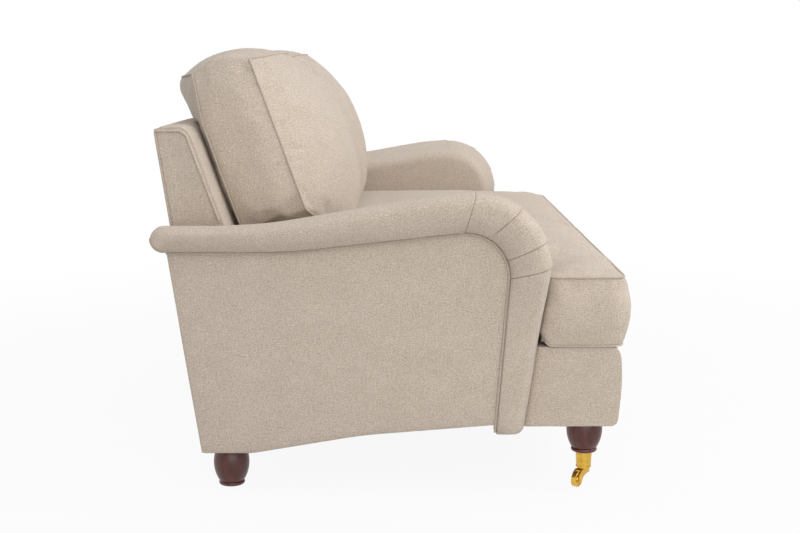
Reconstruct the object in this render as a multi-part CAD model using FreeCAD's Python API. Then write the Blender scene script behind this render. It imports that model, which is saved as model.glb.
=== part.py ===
import FreeCAD, Part
import math
import os

V = FreeCAD.Vector

# English roll arm sofa for two, in millimetres.
# +X runs along the width, the front faces -Y, +Z is up, and the floor is z = 0.
# The left side is at -X and is built first; the right side is its mirror image.

# Overall sizes and planes
ROLL_X = 875          # outermost face of the arm's roll
PANEL_X = 830         # outside face of the flat arm panel
ARM_INNER_X = 657     # inner face of the arm, beside the seat cushion
BACK_X = 745          # side face of the padded back
BASE_X = 790          # outside face of the base's side rails
LEG_X = 740           # leg axes, from the middle
FRONT_LEG_Y = -398
REAR_LEG_Y = 339
BACK_TOP_Z = 746      # top of the padded back
REAR_EDGE_Y = 386.7   # outside back plane at the frame's lowest edge
REAR_EDGE_Z = 92
BACK_RAKE = 0.148     # outside back, travel in Y per height
SEAT_RAKE = 0.35      # inside back, travel in Y per height
SEAT_RAKE_Y = 343     # inside back plane at SEAT_RAKE_Z
SEAT_RAKE_Z = 548.5

# Wall thicknesses and clearances
SKIN = 6              # flat outside panels
BACK_SKIN = 5         # outside back panel
BACK_PAD = 28         # foam on the inside back
BACK_TOP_PAD = 14
BACK_SIDE_PAD = 10
BACK_EDGE = 7         # rounding where the back's side meets its front and top
ARM_PAD = 34          # roll padding outside the arm's frame
ARM_INNER_PAD = 23    # inner arm padding
BOARD = 25            # rails of the base
GAP = 0.5             # clearance between separate upholstered pieces
RUN = 0.08            # radial clearance of turning fits
BOLT_GAP = 0.2        # radial clearance of bolts in wood
PIPING_R = 3          # piping cord's radius

# Heights of the base
RAIL_TOP = 276
RAIL_BOTTOM = 151.5
DECK_TOP = 308
DECK_LOW = 284        # underside of the deck's padding, just above the springs
BORDER_BOTTOM = 139
BORDER_X = 800
BORDER_FRONT = -467
RAIL_FRONT = -440
REAR_RAIL_FRONT = 352


def back_plane(z):
    """Y of the outside back plane at height z."""
    return REAR_EDGE_Y + (z - REAR_EDGE_Z) * BACK_RAKE


def seat_plane(z):
    """Y of the inside back plane at height z."""
    return SEAT_RAKE_Y + (z - SEAT_RAKE_Z) * SEAT_RAKE


# Outline tools: every outline is a list of (y, z, corner radius)


def outline(points, x):
    """Closed wire in the plane at x, with each corner rounded by its radius."""
    spots = [V(x, y, z) for y, z, _ in points]
    count = len(points)
    starts, ends, arcs = [], [], []
    for i in range(count):
        here, radius = spots[i], points[i][2]
        back = (spots[i - 1] - here).normalize()
        ahead = (spots[(i + 1) % count] - here).normalize()
        if radius <= 0:
            starts.append(here)
            ends.append(here)
            arcs.append(None)
            continue
        half = back.getAngle(ahead) / 2
        reach = radius / math.tan(half)
        centre = here + (back + ahead).normalize() * (radius / math.sin(half))
        starts.append(here + back * reach)
        ends.append(here + ahead * reach)
        arcs.append(centre + (here - centre).normalize() * radius)
    edges = []
    for i in range(count):
        if arcs[i] is not None:
            edges.append(Part.Arc(starts[i], arcs[i], ends[i]).toShape())
        edges.append(Part.LineSegment(ends[i], starts[(i + 1) % count]).toShape())
    return Part.Wire(edges)


def inset(points, depth):
    """The same outline moved inwards by depth; round corners keep their centres."""
    count = len(points)
    area = sum(
        points[i][0] * points[(i + 1) % count][1] - points[(i + 1) % count][0] * points[i][1]
        for i in range(count)
    )
    turn = 1 if area > 0 else -1
    moved = []
    for i in range(count):
        y, z, radius = points[i]
        before, after = points[i - 1], points[(i + 1) % count]
        a = V(y - before[0], z - before[1], 0).normalize()
        b = V(after[0] - y, after[1] - z, 0).normalize()
        normal_a = V(-a.y, a.x, 0) * turn
        normal_b = V(-b.y, b.x, 0) * turn
        middle = (normal_a + normal_b).normalize()
        shift = middle * (depth / middle.dot(normal_a))
        convex = (a.x * b.y - a.y * b.x) * turn > 0
        if radius > 0:
            radius = max(radius - depth if convex else radius + depth, 0.4)
        moved.append((y + shift.x, z + shift.y, radius))
    return moved


def prism(points, x0, x1):
    """The outline as a solid from x0 to x1."""
    return Part.Face(outline(points, x0)).extrude(V(x1 - x0, 0, 0))


def stacked(points, stations):
    """A solid through the outline at each (x, inset), with straight sides between."""
    return Part.makeLoft([outline(inset(points, d), x) for x, d in stations], True, True)


def box(x0, x1, y0, y1, z0, z1):
    return Part.makeBox(x1 - x0, y1 - y0, z1 - z0, V(x0, y0, z0))


def mirrored(shape):
    return shape.mirror(V(0, 0, 0), V(1, 0, 0))


def pair(name, left):
    """A left piece and its mirror image on the right."""
    PIECES[name + "_left"] = [left]
    PIECES[name + "_right"] = [mirrored(left)]


PIECES = {}

# Side outlines of the arm

ARM_FRONT_FOOT = (-263, 132)
ARM_PEAK_Z = 622
ARM_FRONT_TOP = (-338, ARM_PEAK_Z)
ARM_FRONT_R = 150
ROLL_REAR_Y = 484
ROLL_TOP_Z = 556
ROLL_LOW_Z = 507
SWEEP = [(285, REAR_EDGE_Z, 120), (63, 129.5, 900), (-205, RAIL_BOTTOM, 0)]


def arm_crest():
    """Front and top edge of the arm, up to where the top runs level."""
    return [
        (*ARM_FRONT_FOOT, 14),
        (*ARM_FRONT_TOP, ARM_FRONT_R),
        (ARM_FRONT_TOP[0] + 1.54 * ARM_FRONT_R, ARM_PEAK_Z, 600),
        (273, ROLL_TOP_Z, 1000),
    ]


def arm_outline():
    """Side view of the whole arm, with the roll's end standing behind the back."""
    return [
        *arm_crest(),
        (ROLL_REAR_Y, ROLL_TOP_Z, 24),
        (ROLL_REAR_Y, ROLL_LOW_Z, 24),
        (back_plane(ROLL_LOW_Z), ROLL_LOW_Z, 0),
        (REAR_EDGE_Y, REAR_EDGE_Z, 0),
        *SWEEP,
        (-207, ARM_FRONT_FOOT[1], 0),
    ]


def inner_arm_outline():
    """Side view of the arm's inner part, which stops at the inside back."""
    return [
        *arm_crest(),
        (seat_plane(ROLL_TOP_Z) - GAP, ROLL_TOP_Z, 0),
        (seat_plane(RAIL_TOP) - GAP, RAIL_TOP, 0),
        (seat_plane(RAIL_TOP) - GAP, ARM_FRONT_FOOT[1], 0),
    ]


def panel_outline():
    """Edge of the flat outside panel, where the piping runs."""
    return [
        (-208, RAIL_BOTTOM, 0),
        (-240, 553, 88),
        (208, 503, 900),
        (back_plane(503), 503, 0),
        (REAR_EDGE_Y, REAR_EDGE_Z, 0),
        *SWEEP[:2],
    ]


def arm_hollow():
    """Space inside the arm's padding, open below and on the outside."""
    low = REAR_EDGE_Z - 60
    front_low = ARM_FRONT_FOOT[0] + (ARM_FRONT_FOOT[1] - low) * 0.153
    shape = [
        (front_low, low, 0),
        *arm_crest()[1:],
        (back_plane(ROLL_TOP_Z), ROLL_TOP_Z, 0),
        (back_plane(low), low, 0),
    ]
    inner = inset(shape, ARM_PAD)
    rear = [(back_plane(z) - BACK_SKIN - GAP, z, 0) for z in (inner[4][1], inner[5][1])]
    return inner[:4] + rear


def arms():
    hollow = arm_hollow()
    roll_side = [(0, 22), (6, 13), (17, 5.5), (34, 1), (55, 0), (ROLL_X - BACK_X, 0)]
    outer = stacked(arm_outline(), [(-ROLL_X + x, d) for x, d in roll_side])
    inner_side = [(0, 32), (10, 14), (24, 5), (42, 0), (BACK_X + 1 - ARM_INNER_X, 0)]
    inner = stacked(inner_arm_outline(), [(-ARM_INNER_X - x, d) for x, d in reversed(inner_side)])
    cover = outer.fuse(inner)
    # The roll comes back to the flat panel in a rounded lip
    under_roll = [(-196, 0, 0), *panel_outline()[1:3], (600, 503, 0), (600, 0, 0)]
    lip = [(-1, -21), (6, -12), (20, -4), (ROLL_X - PANEL_X - 6, 0), (ROLL_X - PANEL_X + SKIN + 1, 0)]
    cover = cover.cut(stacked(under_roll, [(-ROLL_X + x, d) for x, d in lip]))
    # The front band narrows towards the floor, until it is flush with the base
    beyond = -ROLL_X - 5
    corners = [V(beyond, -600, 100), V(-PANEL_X - 8, -600, 100), V(beyond, -600, 470)]
    taper = Part.makePolygon(corners + corners[:1])
    cover = cover.cut(Part.Face(taper).extrude(V(0, 1200, 0)))
    cover = cover.cut(prism(hollow, -PANEL_X - 1, -ARM_INNER_X - ARM_INNER_PAD))
    # Room for the base, and for the back between the arms
    cover = cover.cut(box(-BASE_X - 1, 0, -500, 600, 0, RAIL_TOP + 10))
    low, high = 60, 900
    back_room = [(seat_plane(low) - GAP, low, 0), (seat_plane(high) - GAP, high, 0), (900, high, 0), (900, low, 0)]
    cover = cover.cut(prism(back_room, -BACK_X - GAP, 0))
    cover = cover.cut(outside_back_solid(GAP))
    pair("arm_cover", cover.removeSplitter())

    panel = prism(inset(panel_outline(), 0.6), -PANEL_X, -PANEL_X + SKIN)
    pair("outside_arm", panel)

    # Wooden arm frame inside the padding
    frame = prism(hollow, -PANEL_X + SKIN, -BASE_X)
    above = [(-208, RAIL_BOTTOM, 0), (-240, 900, 0), (900, 900, 0), (900, REAR_EDGE_Z, 0)]
    sweep = prism(above + SWEEP[:2], -ROLL_X, 0)
    sweep = sweep.fuse(box(-ROLL_X, 0, -500, -207, RAIL_BOTTOM, 700))
    front_post = frame.common(box(-ROLL_X, 0, -400, -185, 0, 700)).common(sweep)
    pair("arm_front_post", front_post)
    rear = [
        (back_plane(503) - 46, 520, 0),
        (900, 520, 0),
        (900, REAR_EDGE_Z, 0),
        (back_plane(REAR_EDGE_Z) - 46, REAR_EDGE_Z, 0),
    ]
    rear_post = frame.common(prism(rear, -ROLL_X, 0))
    rear_post = rear_post.cut(box(-ROLL_X, 0, 0, 600, 480, 700))
    pair("arm_rear_post", rear_post)
    lower = [
        (-185, RAIL_BOTTOM - 1.5, 0),
        (-185, RAIL_BOTTOM + 48, 0),
        (rear_post.BoundBox.YMin, RAIL_BOTTOM + 20, 0),
        (rear_post.BoundBox.YMin, REAR_EDGE_Z, 0),
        *SWEEP[:2],
    ]
    pair("arm_lower_rail", prism(lower, -PANEL_X + SKIN, -BASE_X))
    top = prism(hollow, -PANEL_X + SKIN + 2, -ARM_INNER_X - 44)
    lowered = top.copy()
    lowered.translate(V(0, 0, -BOARD - 3))
    top = top.cut(lowered).common(box(-ROLL_X, 0, -185, 400, 480, 700))
    top = top.cut(prism([(y - 2, z, r) for y, z, r in back_room], -BACK_X - 2, 0))
    pair("arm_top_rail", top)
    inside = -ARM_INNER_X - ARM_INNER_PAD
    pair("arm_inner_rail", box(inside - 24, inside, -230, 235, RAIL_TOP + 10, RAIL_TOP + 60))

    # Piping cord round the panel, from the front foot to the rear edge
    path = inset(panel_outline(), PIPING_R + 0.3)
    wire = outline(path, -PANEL_X - PIPING_R - 0.2)
    run = []
    for edge in wire.Edges:
        middle = edge.valueAt((edge.FirstParameter + edge.LastParameter) / 2)
        if middle.y < -205 or middle.z > 400 and middle.y < 440:
            run.append(edge)
    pair("arm_piping", rod(run, PIPING_R))


def rod(edges, radius):
    """Round cord or wire along the chain of edges."""
    line = Part.Wire(Part.__sortEdges__(edges))
    first = line.OrderedEdges[0]
    start, along = line.OrderedVertexes[0].Point, first.tangentAt(first.FirstParameter)
    return line.makePipeShell([Part.Wire(Part.makeCircle(radius, start, along))], True, False)


# Back


def back_outline(low):
    """Side view of the padded back above the height low."""
    return [
        (seat_plane(low), low, 0),
        (seat_plane(BACK_TOP_Z), BACK_TOP_Z, 30),
        (back_plane(BACK_TOP_Z) - BACK_SKIN, BACK_TOP_Z, 5),
        (back_plane(low) - BACK_SKIN, low, 0),
    ]


def outside_back_solid(grow=0.0):
    """The flat outside back: wide below the rolls' ends, narrower above them."""
    lower = [
        (back_plane(REAR_EDGE_Z) - BACK_SKIN - grow, REAR_EDGE_Z, 0),
        (back_plane(ROLL_LOW_Z - 3) - BACK_SKIN - grow, ROLL_LOW_Z - 3 + grow, 0),
        (back_plane(ROLL_LOW_Z - 3) + grow * 100, ROLL_LOW_Z - 3 + grow, 0),
        (back_plane(REAR_EDGE_Z) + grow * 100, REAR_EDGE_Z, 0),
    ]
    wide = PANEL_X - SKIN - 0.3 + grow
    upper = [
        (back_plane(REAR_EDGE_Z) - BACK_SKIN - grow, REAR_EDGE_Z, 0),
        (back_plane(BACK_TOP_Z - 6) - BACK_SKIN - grow, BACK_TOP_Z - 6, 0),
        (back_plane(BACK_TOP_Z - 6) + grow * 100, BACK_TOP_Z - 6, 0),
        (back_plane(REAR_EDGE_Z) + grow * 100, REAR_EDGE_Z, 0),
    ]
    narrow = BACK_X - 1 + grow
    return prism(lower, -wide, wide).fuse(prism(upper, -narrow, narrow)).removeSplitter()


def back():
    low = RAIL_TOP + 10
    shape = back_outline(low)
    ends = [(-BACK_X, BACK_EDGE), (-BACK_X + 3, 2.5), (-BACK_X + 9, 0)]
    stations = ends + [(-x, d) for x, d in reversed(ends)]
    padded = stacked(shape, stations)
    hollow = [
        (seat_plane(low - 20) + BACK_PAD, low - 20, 0),
        (seat_plane(BACK_TOP_Z - BACK_TOP_PAD) + BACK_PAD, BACK_TOP_Z - BACK_TOP_PAD, 12),
        (back_plane(BACK_TOP_Z - BACK_TOP_PAD) + 60, BACK_TOP_Z - BACK_TOP_PAD, 0),
        (back_plane(low) + 60, low - 20, 0),
    ]
    inner_x = BACK_X - BACK_SIDE_PAD
    padded = padded.cut(prism(hollow, -inner_x, inner_x))
    PIECES["inside_back"] = [padded]
    PIECES["outside_back"] = [outside_back_solid()]

    # Posts and rails inside the padding, with room for the webbing in front of them
    web = 3
    front = BACK_PAD + web
    top_z = BACK_TOP_Z - BACK_TOP_PAD - GAP
    rail_back = REAR_RAIL_FRONT + BOARD
    post = [
        (rail_back, 160, 0),
        (rail_back, RAIL_TOP, 0),
        (seat_plane(RAIL_TOP) + front, RAIL_TOP, 0),
        (seat_plane(top_z) + front, top_z, 10),
        (back_plane(top_z) - BACK_SKIN - GAP, top_z, 0),
        (back_plane(160) - BACK_SKIN - GAP, 160, 0),
    ]
    post_in = inner_x - 36
    pair("back_post", prism(post, -inner_x + GAP, -post_in))

    def between(z0, z1, rounding=0):
        return [
            (seat_plane(z0) + front, z0, 0),
            (seat_plane(z1) + front, z1, rounding),
            (back_plane(z1) - BACK_SKIN - GAP, z1, 0),
            (back_plane(z0) - BACK_SKIN - GAP, z0, 0),
        ]

    PIECES["back_top_rail"] = [prism(between(top_z - 70, top_z, 12), -post_in, post_in)]
    PIECES["back_lower_rail"] = [prism(between(low + 14, low + 84), -post_in, post_in)]
    middle = between(low + 84, top_z - 70)
    PIECES["back_centre_post"] = [prism(middle, -17, 17)]
    strap = [
        (seat_plane(low + 24) + BACK_PAD + 0.3, low + 24, 0),
        (seat_plane(top_z - 12) + BACK_PAD + 0.3, top_z - 12, 0),
        (seat_plane(top_z - 12) + front - 0.3, top_z - 12, 0),
        (seat_plane(low + 24) + front - 0.3, low + 24, 0),
    ]
    straps = 8
    pitch = 2 * (post_in - 60) / (straps - 1)
    PIECES["back_webbing"] = [
        prism(strap, -post_in + 60 + i * pitch - 25, -post_in + 60 + i * pitch + 25) for i in range(straps)
    ]

    # Piping along the side's front and top edges
    line = inset(back_outline(ROLL_TOP_Z - 2), BACK_EDGE + 1.5)
    wire = outline(line, -BACK_X - PIPING_R - 0.2)
    run = []
    for edge in wire.Edges:
        middle = edge.CenterOfMass
        in_front = middle.y < seat_plane(middle.z) + 30 and middle.z > ROLL_TOP_Z + 4
        if in_front or middle.z > BACK_TOP_Z - 10:
            run.append(edge)
    pair("back_piping", rod(run, PIPING_R))


# Base


def base():
    side = [
        (RAIL_FRONT, RAIL_TOP, 0),
        (RAIL_FRONT, RAIL_BOTTOM, 0),
        *reversed(SWEEP),
        (REAR_RAIL_FRONT + BOARD, REAR_EDGE_Z, 0),
        (REAR_RAIL_FRONT + BOARD, RAIL_TOP, 0),
    ]
    inner_x = BASE_X - BOARD
    pair("side_rail", prism(side, -BASE_X, -inner_x))
    front, rear = RAIL_FRONT + BOARD, REAR_RAIL_FRONT
    PIECES["front_rail"] = [box(-inner_x, inner_x, RAIL_FRONT, front, RAIL_BOTTOM, RAIL_TOP)]
    PIECES["rear_rail"] = [box(-inner_x, inner_x, rear, rear + BOARD, REAR_EDGE_Z, RAIL_TOP)]
    half, low = BOARD / 2, RAIL_BOTTOM + 20
    PIECES["seat_cross_rails"] = [box(x - half, x + half, front, rear, low, low + 70) for x in (-255, 255)]

    # Lipped front border: front pad, side pads and the top lip the cushions rest on
    edge = [
        (-268, BORDER_BOTTOM, 0),
        (-268, DECK_TOP, 0),
        (BORDER_FRONT, DECK_TOP, 42),
        (BORDER_FRONT, BORDER_BOTTOM, 22),
    ]
    ends = [(-BORDER_X, 10), (-BORDER_X + 3, 4.5), (-BORDER_X + 9, 1), (-BORDER_X + 16, 0)]
    border = stacked(edge, ends + [(-x, d) for x, d in reversed(ends)])
    border = border.cut(box(-BASE_X, BASE_X, RAIL_FRONT, 0, 0, DECK_LOW))
    arm_side = inset(arm_outline()[:5] + [(ROLL_REAR_Y, 100, 0)], -1.0)
    arm_room = prism(arm_side, -ROLL_X - 5, -ARM_INNER_X + 1)
    border = border.cut(arm_room).cut(mirrored(arm_room))
    PIECES["front_border"] = [border]

    deck_front = -267
    deck = [
        (deck_front, DECK_LOW, 0),
        (deck_front, DECK_TOP, 0),
        (seat_plane(DECK_TOP) - 1, DECK_TOP, 0),
        (seat_plane(DECK_LOW) - 1, DECK_LOW, 0),
    ]
    PIECES["seat_deck"] = [prism(deck, -ARM_INNER_X + 1, ARM_INNER_X - 1)]

    thin = 1.5
    bottom = [(RAIL_FRONT, RAIL_BOTTOM, 0), *reversed(SWEEP), (365, REAR_EDGE_Z, 0)]
    lowered = [(y, z - thin, r) for y, z, r in reversed(bottom)]
    cloth = prism(bottom + lowered, -BASE_X + 2, BASE_X - 2)
    for x, y in LEG_SPOTS:
        cloth = cloth.cut(Part.makeCylinder(40, 200, V(x, y, 0)))
    PIECES["dust_cover"] = [cloth]


LEG_SPOTS = [(-LEG_X, FRONT_LEG_Y), (LEG_X, FRONT_LEG_Y), (-LEG_X, REAR_LEG_Y), (LEG_X, REAR_LEG_Y)]
BLOCK = 55            # side of the glued corner blocks
BOLT_R = 4


def legs():
    inner_x = BASE_X - BOARD
    blocks, bolts, nuts = [], [], []
    for x, y in LEG_SPOTS:
        side = 1 if x > 0 else -1
        front = y < 0
        low = RAIL_BOTTOM if front else REAR_EDGE_Z
        y0 = RAIL_FRONT + BOARD if front else REAR_RAIL_FRONT - BLOCK
        x0 = -inner_x if side < 0 else inner_x - BLOCK
        block = box(x0, x0 + BLOCK, y0, y0 + BLOCK, low, low + 60)
        spot = V(x, y, 0)
        hole_y = min(max(y, y0 + 12), y0 + BLOCK - 12)
        spot.y = hole_y
        hole = Part.makeCylinder(BOLT_R + BOLT_GAP, 120, V(spot.x, spot.y, low - 36))
        blocks.append(block.cut(hole))
        bolts.append(Part.makeCylinder(BOLT_R, 98, V(spot.x, spot.y, low - 35)))
        nuts.append(Part.makeCylinder(12, 2, V(spot.x, spot.y, low + 60)).cut(hole))
        wood = turned_leg(CASTER_TOP if front else 0, low)
        wood.translate(V(spot.x, spot.y, 0))
        wood = wood.cut(hole)
        name = ("front_leg_" if front else "rear_foot_") + ("left" if side < 0 else "right")
        PIECES[name] = [wood]
    PIECES["corner_blocks"] = blocks
    PIECES["hanger_bolts"] = bolts
    PIECES["tee_nuts"] = nuts


CASTER_TOP = 72       # where the brass socket meets the wood
LEG_BELLY_R = 37
SPIGOT_R = 12


def turned_leg(low, high):
    """Bun-shaped turned foot from low to high, with a bead round its bottom."""
    profile = [
        Part.LineSegment(V(0, 0, 0), V(22.5, 0, 0)).toShape(),
        Part.Arc(V(22.5, 0, 0), V(27, 0, 4.5), V(24.5, 0, 8.53)).toShape(),
        Part.LineSegment(V(24.5, 0, 8.53), V(26.4, 0, 9.6)).toShape(),
        Part.Arc(V(26.4, 0, 9.6), V(LEG_BELLY_R, 0, 43.6), V(29, 0, 82)).toShape(),
        Part.LineSegment(V(29, 0, 82), V(29, 0, 110)).toShape(),
        Part.LineSegment(V(29, 0, 110), V(0, 0, 110)).toShape(),
        Part.LineSegment(V(0, 0, 110), V(0, 0, 0)).toShape(),
    ]
    solid = Part.Face(Part.Wire(profile)).revolve(V(0, 0, 0), V(0, 0, 1), 360)
    solid = solid.common(Part.makeCylinder(60, high - low))
    if low > 0:
        solid = solid.fuse(Part.makeCylinder(SPIGOT_R, 22, V(0, 0, -22))).removeSplitter()
    solid.translate(V(0, 0, low))
    return solid


# Front casters: a tapered brass socket, a swivelling fork and its wheel

SOCKET_LOW = 37
TRAIL = 25.6
TRAIL_TURN = 51.3     # degrees from straight back towards the outside
WHEEL_R = 16
WHEEL_W = 11
AXLE_R = 2.4
STEM_R = 4.5


def casters():
    top_r, low_r, wall = 17.2, 15, 4
    socket = Part.makeCone(low_r, top_r, CASTER_TOP - SOCKET_LOW, V(0, 0, SOCKET_LOW))
    socket = socket.fuse(Part.makeCylinder(low_r + 0.9, 2.5, V(0, 0, SOCKET_LOW + 1)))
    socket = socket.cut(Part.makeCylinder(SPIGOT_R + 0.1, 40, V(0, 0, CASTER_TOP - 22.5)))
    socket = socket.cut(Part.makeCylinder(STEM_R + RUN, 40, V(0, 0, SOCKET_LOW - 1)))

    head_low, head_high = 29.5, SOCKET_LOW - 0.4
    head = Part.makeCylinder(11, head_high - head_low, V(0, 0, head_low))
    stem = Part.makeCylinder(STEM_R, 19, V(0, 0, head_low))
    cheek_w, space = 2.6, WHEEL_W / 2 + 0.7
    shoulder = head_high - 2
    tip, throat = V(0, TRAIL + 6.5, WHEEL_R), V(0, TRAIL - 5.6, WHEEL_R - 3.3)
    arm = Part.Wire(
        [
            Part.LineSegment(V(0, -10, shoulder), V(0, 9, shoulder)).toShape(),
            Part.Arc(V(0, 9, shoulder), V(0, 26, 30), tip).toShape(),
            Part.Arc(tip, V(0, TRAIL, WHEEL_R - 6.5), throat).toShape(),
            Part.Arc(throat, V(0, 8, 22), V(0, -10, 24.5)).toShape(),
            Part.LineSegment(V(0, -10, 24.5), V(0, -10, shoulder)).toShape(),
        ]
    )
    cheek = Part.Face(arm).extrude(V(cheek_w, 0, 0))
    near, far = cheek.copy(), cheek.copy()
    near.translate(V(space, 0, 0))
    far.translate(V(-space - cheek_w, 0, 0))
    bridge = box(-space - 0.5, space + 0.5, -10, 7, head_low, head_high - 2)
    fork = head.fuse([stem, near, far, bridge]).removeSplitter()
    axle_line = Part.makeCylinder(AXLE_R + 0.02, 60, V(-30, TRAIL, WHEEL_R), V(1, 0, 0))
    fork = fork.cut(axle_line)
    wheel_room = Part.makeCylinder(WHEEL_R + 1.2, 2 * space, V(-space, TRAIL, WHEEL_R), V(1, 0, 0))
    fork = fork.cut(wheel_room)

    half = WHEEL_W / 2
    # Half of the wheel's section, from its bore out to the tread, then its mirror image
    bore = AXLE_R + RUN
    section = [(half, bore), (half, 6), (half - 2, 7), (half - 2, 12), (half, 13), (half - 1, WHEEL_R)]
    section += [(-x, r) for x, r in reversed(section)]
    tread = [V(x, 0, r) for x, r in section]
    wheel = Part.Face(Part.makePolygon(tread + tread[:1])).revolve(V(0, 0, 0), V(1, 0, 0), 360)
    wheel.translate(V(0, TRAIL, WHEEL_R))
    reach = space + cheek_w + 0.8
    axle = Part.makeCylinder(AXLE_R, 2 * reach, V(-reach, TRAIL, WHEEL_R), V(1, 0, 0))

    for turning in (fork, wheel, axle):
        turning.rotate(V(0, 0, 0), V(0, 0, 1), TRAIL_TURN)
    named = {"caster_socket": socket, "caster_fork": fork, "caster_wheel": wheel, "caster_axle": axle}
    for name, shape in named.items():
        shape.translate(V(-LEG_X, FRONT_LEG_Y, 0))
        pair(name, shape)


# Springs under the deck

SPRINGS = 8
SPRING_PITCH = 158
SPRING_RUNS = 47      # straight runs across each spring
SPRING_HALF_RUN = 20
SPRING_R = 2


def springs():
    z = RAIL_TOP + 2 + SPRING_R
    first_y, last_y = RAIL_FRONT + BOARD / 2, REAR_RAIL_FRONT + BOARD / 2
    pitch = (last_y - first_y) / (SPRING_RUNS - 1)
    wires, clips = [], []
    for i in range(SPRINGS):
        x = (i - (SPRINGS - 1) / 2) * SPRING_PITCH
        edges = []
        for k in range(SPRING_RUNS):
            y = first_y + k * pitch
            reach = SPRING_HALF_RUN if k % 2 == 0 else -SPRING_HALF_RUN
            turn = pitch / 2 if reach > 0 else -pitch / 2
            edges.append(Part.LineSegment(V(x - reach, y, z), V(x + reach, y, z)).toShape())
            if k < SPRING_RUNS - 1:
                tip = V(x + reach + turn, y + pitch / 2, z)
                bend = Part.Arc(V(x + reach, y, z), tip, V(x + reach, y + pitch, z))
                edges.append(bend.toShape())
        wires.append(rod(edges, SPRING_R))
        for y in (first_y, last_y):
            clip = box(x - 9, x + 9, y - 5, y + 5, RAIL_TOP, z + SPRING_R + 1.2)
            slot = Part.makeCylinder(SPRING_R + 0.15, 30, V(x - 15, y, z), V(1, 0, 0))
            clips.append(clip.cut(slot))
    PIECES["seat_springs"] = wires
    PIECES["spring_clips"] = clips


# Cushions


def bowed(corners, bows, x):
    """Closed wire at x through (y, z) corners, each side bowed outwards."""
    edges = []
    for i, (a, bow) in enumerate(zip(corners, bows)):
        b = corners[(i + 1) % len(corners)]
        start, end = V(x, *a), V(x, *b)
        along = (end - start).normalize()
        outward = V(0, along.z, -along.y)
        if abs(bow) < 0.05:
            edges.append(Part.LineSegment(start, end).toShape())
        else:
            edges.append(Part.Arc(start, (start + end) / 2 + outward * bow, end).toShape())
    return Part.Wire(edges)


def mixed(a, b, share):
    return tuple(p + (q - p) * share for p, q in zip(a, b))


def cushion(stations, side, middle, side_bows, middle_bows, wall):
    """Loft through stations of (x, share of the crown, draw-in), wall mm inside the cover."""
    wires = []
    centre_x = (stations[0][0] + stations[-1][0]) / 2
    narrower = 1 - wall / (stations[-1][0] - centre_x)
    for x, share, draw in stations:
        x = centre_x + (x - centre_x) * narrower
        corners = [mixed(a, b, share) for a, b in zip(side, middle)]
        bows = mixed(side_bows, middle_bows, share)
        cy = sum(c[0] for c in corners) / len(corners)
        cz = sum(c[1] for c in corners) / len(corners)
        depth = draw + wall
        ry = max(abs(c[0] - cy) for c in corners)
        rz = max(abs(c[1] - cz) for c in corners)
        scale_y, scale_z = 1 - depth / ry, 1 - depth / rz
        corners = [(cy + (c[0] - cy) * scale_y, cz + (c[1] - cz) * scale_z) for c in corners]
        wires.append(bowed(corners, bows, x))
    return Part.makeLoft(wires, True, True)


SEAT_REST = DECK_TOP + 0.3
SEAT_FRONT = -466
SEAT_SEAM_Z = 448
SEAT_CROWN = 44
CORE_WALL = 5         # cover and wadding round each foam core
CORE_GAP = 2          # room between that and the core
EAR_X = 803           # outer side of the seat cushion's front ear
EAR_REAR = (-293, -311)


def across(x0, x1, rise):
    """Stations from side to side: edges drawn in, then a crown that rises over a length."""
    ends = [(0, 0, 8), (3, 0, 3), (10, 0.05, 0)]
    for i in range(1, 6):
        ends.append((10 + (rise - 10) * i / 5, 0.05 + 0.95 * math.sin(math.radians(18 * i)), 0))
    return [(x0 + d, s, w) for d, s, w in ends] + [(x1 - d, s, w) for d, s, w in reversed(ends)]


def seat_solid(wall):
    """T-shaped seat cushion: the deep middle and the ear in front of the arm."""
    rear_low, rear_top = seat_plane(SEAT_REST) - 3, seat_plane(438) - 5
    front_low, front_top = (SEAT_FRONT, SEAT_REST), (SEAT_FRONT + 1, SEAT_SEAM_Z)
    side = [front_low, (rear_low, SEAT_REST), (rear_top, 438), front_top]
    middle = [front_low, (rear_low, SEAT_REST), (rear_top, 446), (SEAT_FRONT, SEAT_SEAM_Z + 4)]
    stations = across(-ARM_INNER_X + 1, -0.8, 230)
    body = cushion(stations, side, middle, (0, 0, 14, 17), (0, 0, SEAT_CROWN, 18), wall)
    ear_side = [front_low, (EAR_REAR[0], SEAT_REST), (EAR_REAR[1], 429), front_top]
    ear_in = [front_low, (EAR_REAR[0], SEAT_REST), (EAR_REAR[1], 436), front_top]
    ends = [(-EAR_X, 0, 8), (-EAR_X + 3, 0, 3), (-EAR_X + 9, 0.1, 0), (-EAR_X + 75, 0.8, 0)]
    ends.append((-ARM_INNER_X + 40, 1, 0))
    ear = cushion(ends, ear_side, ear_in, (0, 0, 5, 16), (0, 0, 10, 17), wall)
    return body.fuse(ear).removeSplitter()


BACK_SIDE_X = 638     # outer side of the back cushion
BACK_CROWN = 70


def back_solid(wall):
    """Back cushion: a boxed side and a front panel that swells far forward.

    Its rear bends in where it passes over the back. Inner solids bend a wall higher up.
    """
    side = [
        (seat_plane(522) - 15, 522),
        (seat_plane(BACK_TOP_Z) - 15, BACK_TOP_Z + wall),
        (418, 850),
        (299, 880),
        (186, 566),
    ]
    middle = [
        (seat_plane(480) - 0.8, 480),
        (seat_plane(BACK_TOP_Z + 5) - 0.8, BACK_TOP_Z + 5 + wall),
        (474, 838),
        (255, 892),
        (104, 486),
    ]
    x0, x1 = -BACK_SIDE_X, -1
    stations = across(x0, x1, 250)
    return cushion(stations, side, middle, (0, 0, 16, 6, 0), (0, 14, 26, BACK_CROWN, 0), wall)


def cushions():
    for name, solid in (("seat_cushion", seat_solid), ("back_cushion", back_solid)):
        whole = solid(0)
        pair(name, whole.cut(solid(CORE_WALL)))
        pair(name + "_core", solid(CORE_WALL + CORE_GAP))


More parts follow.
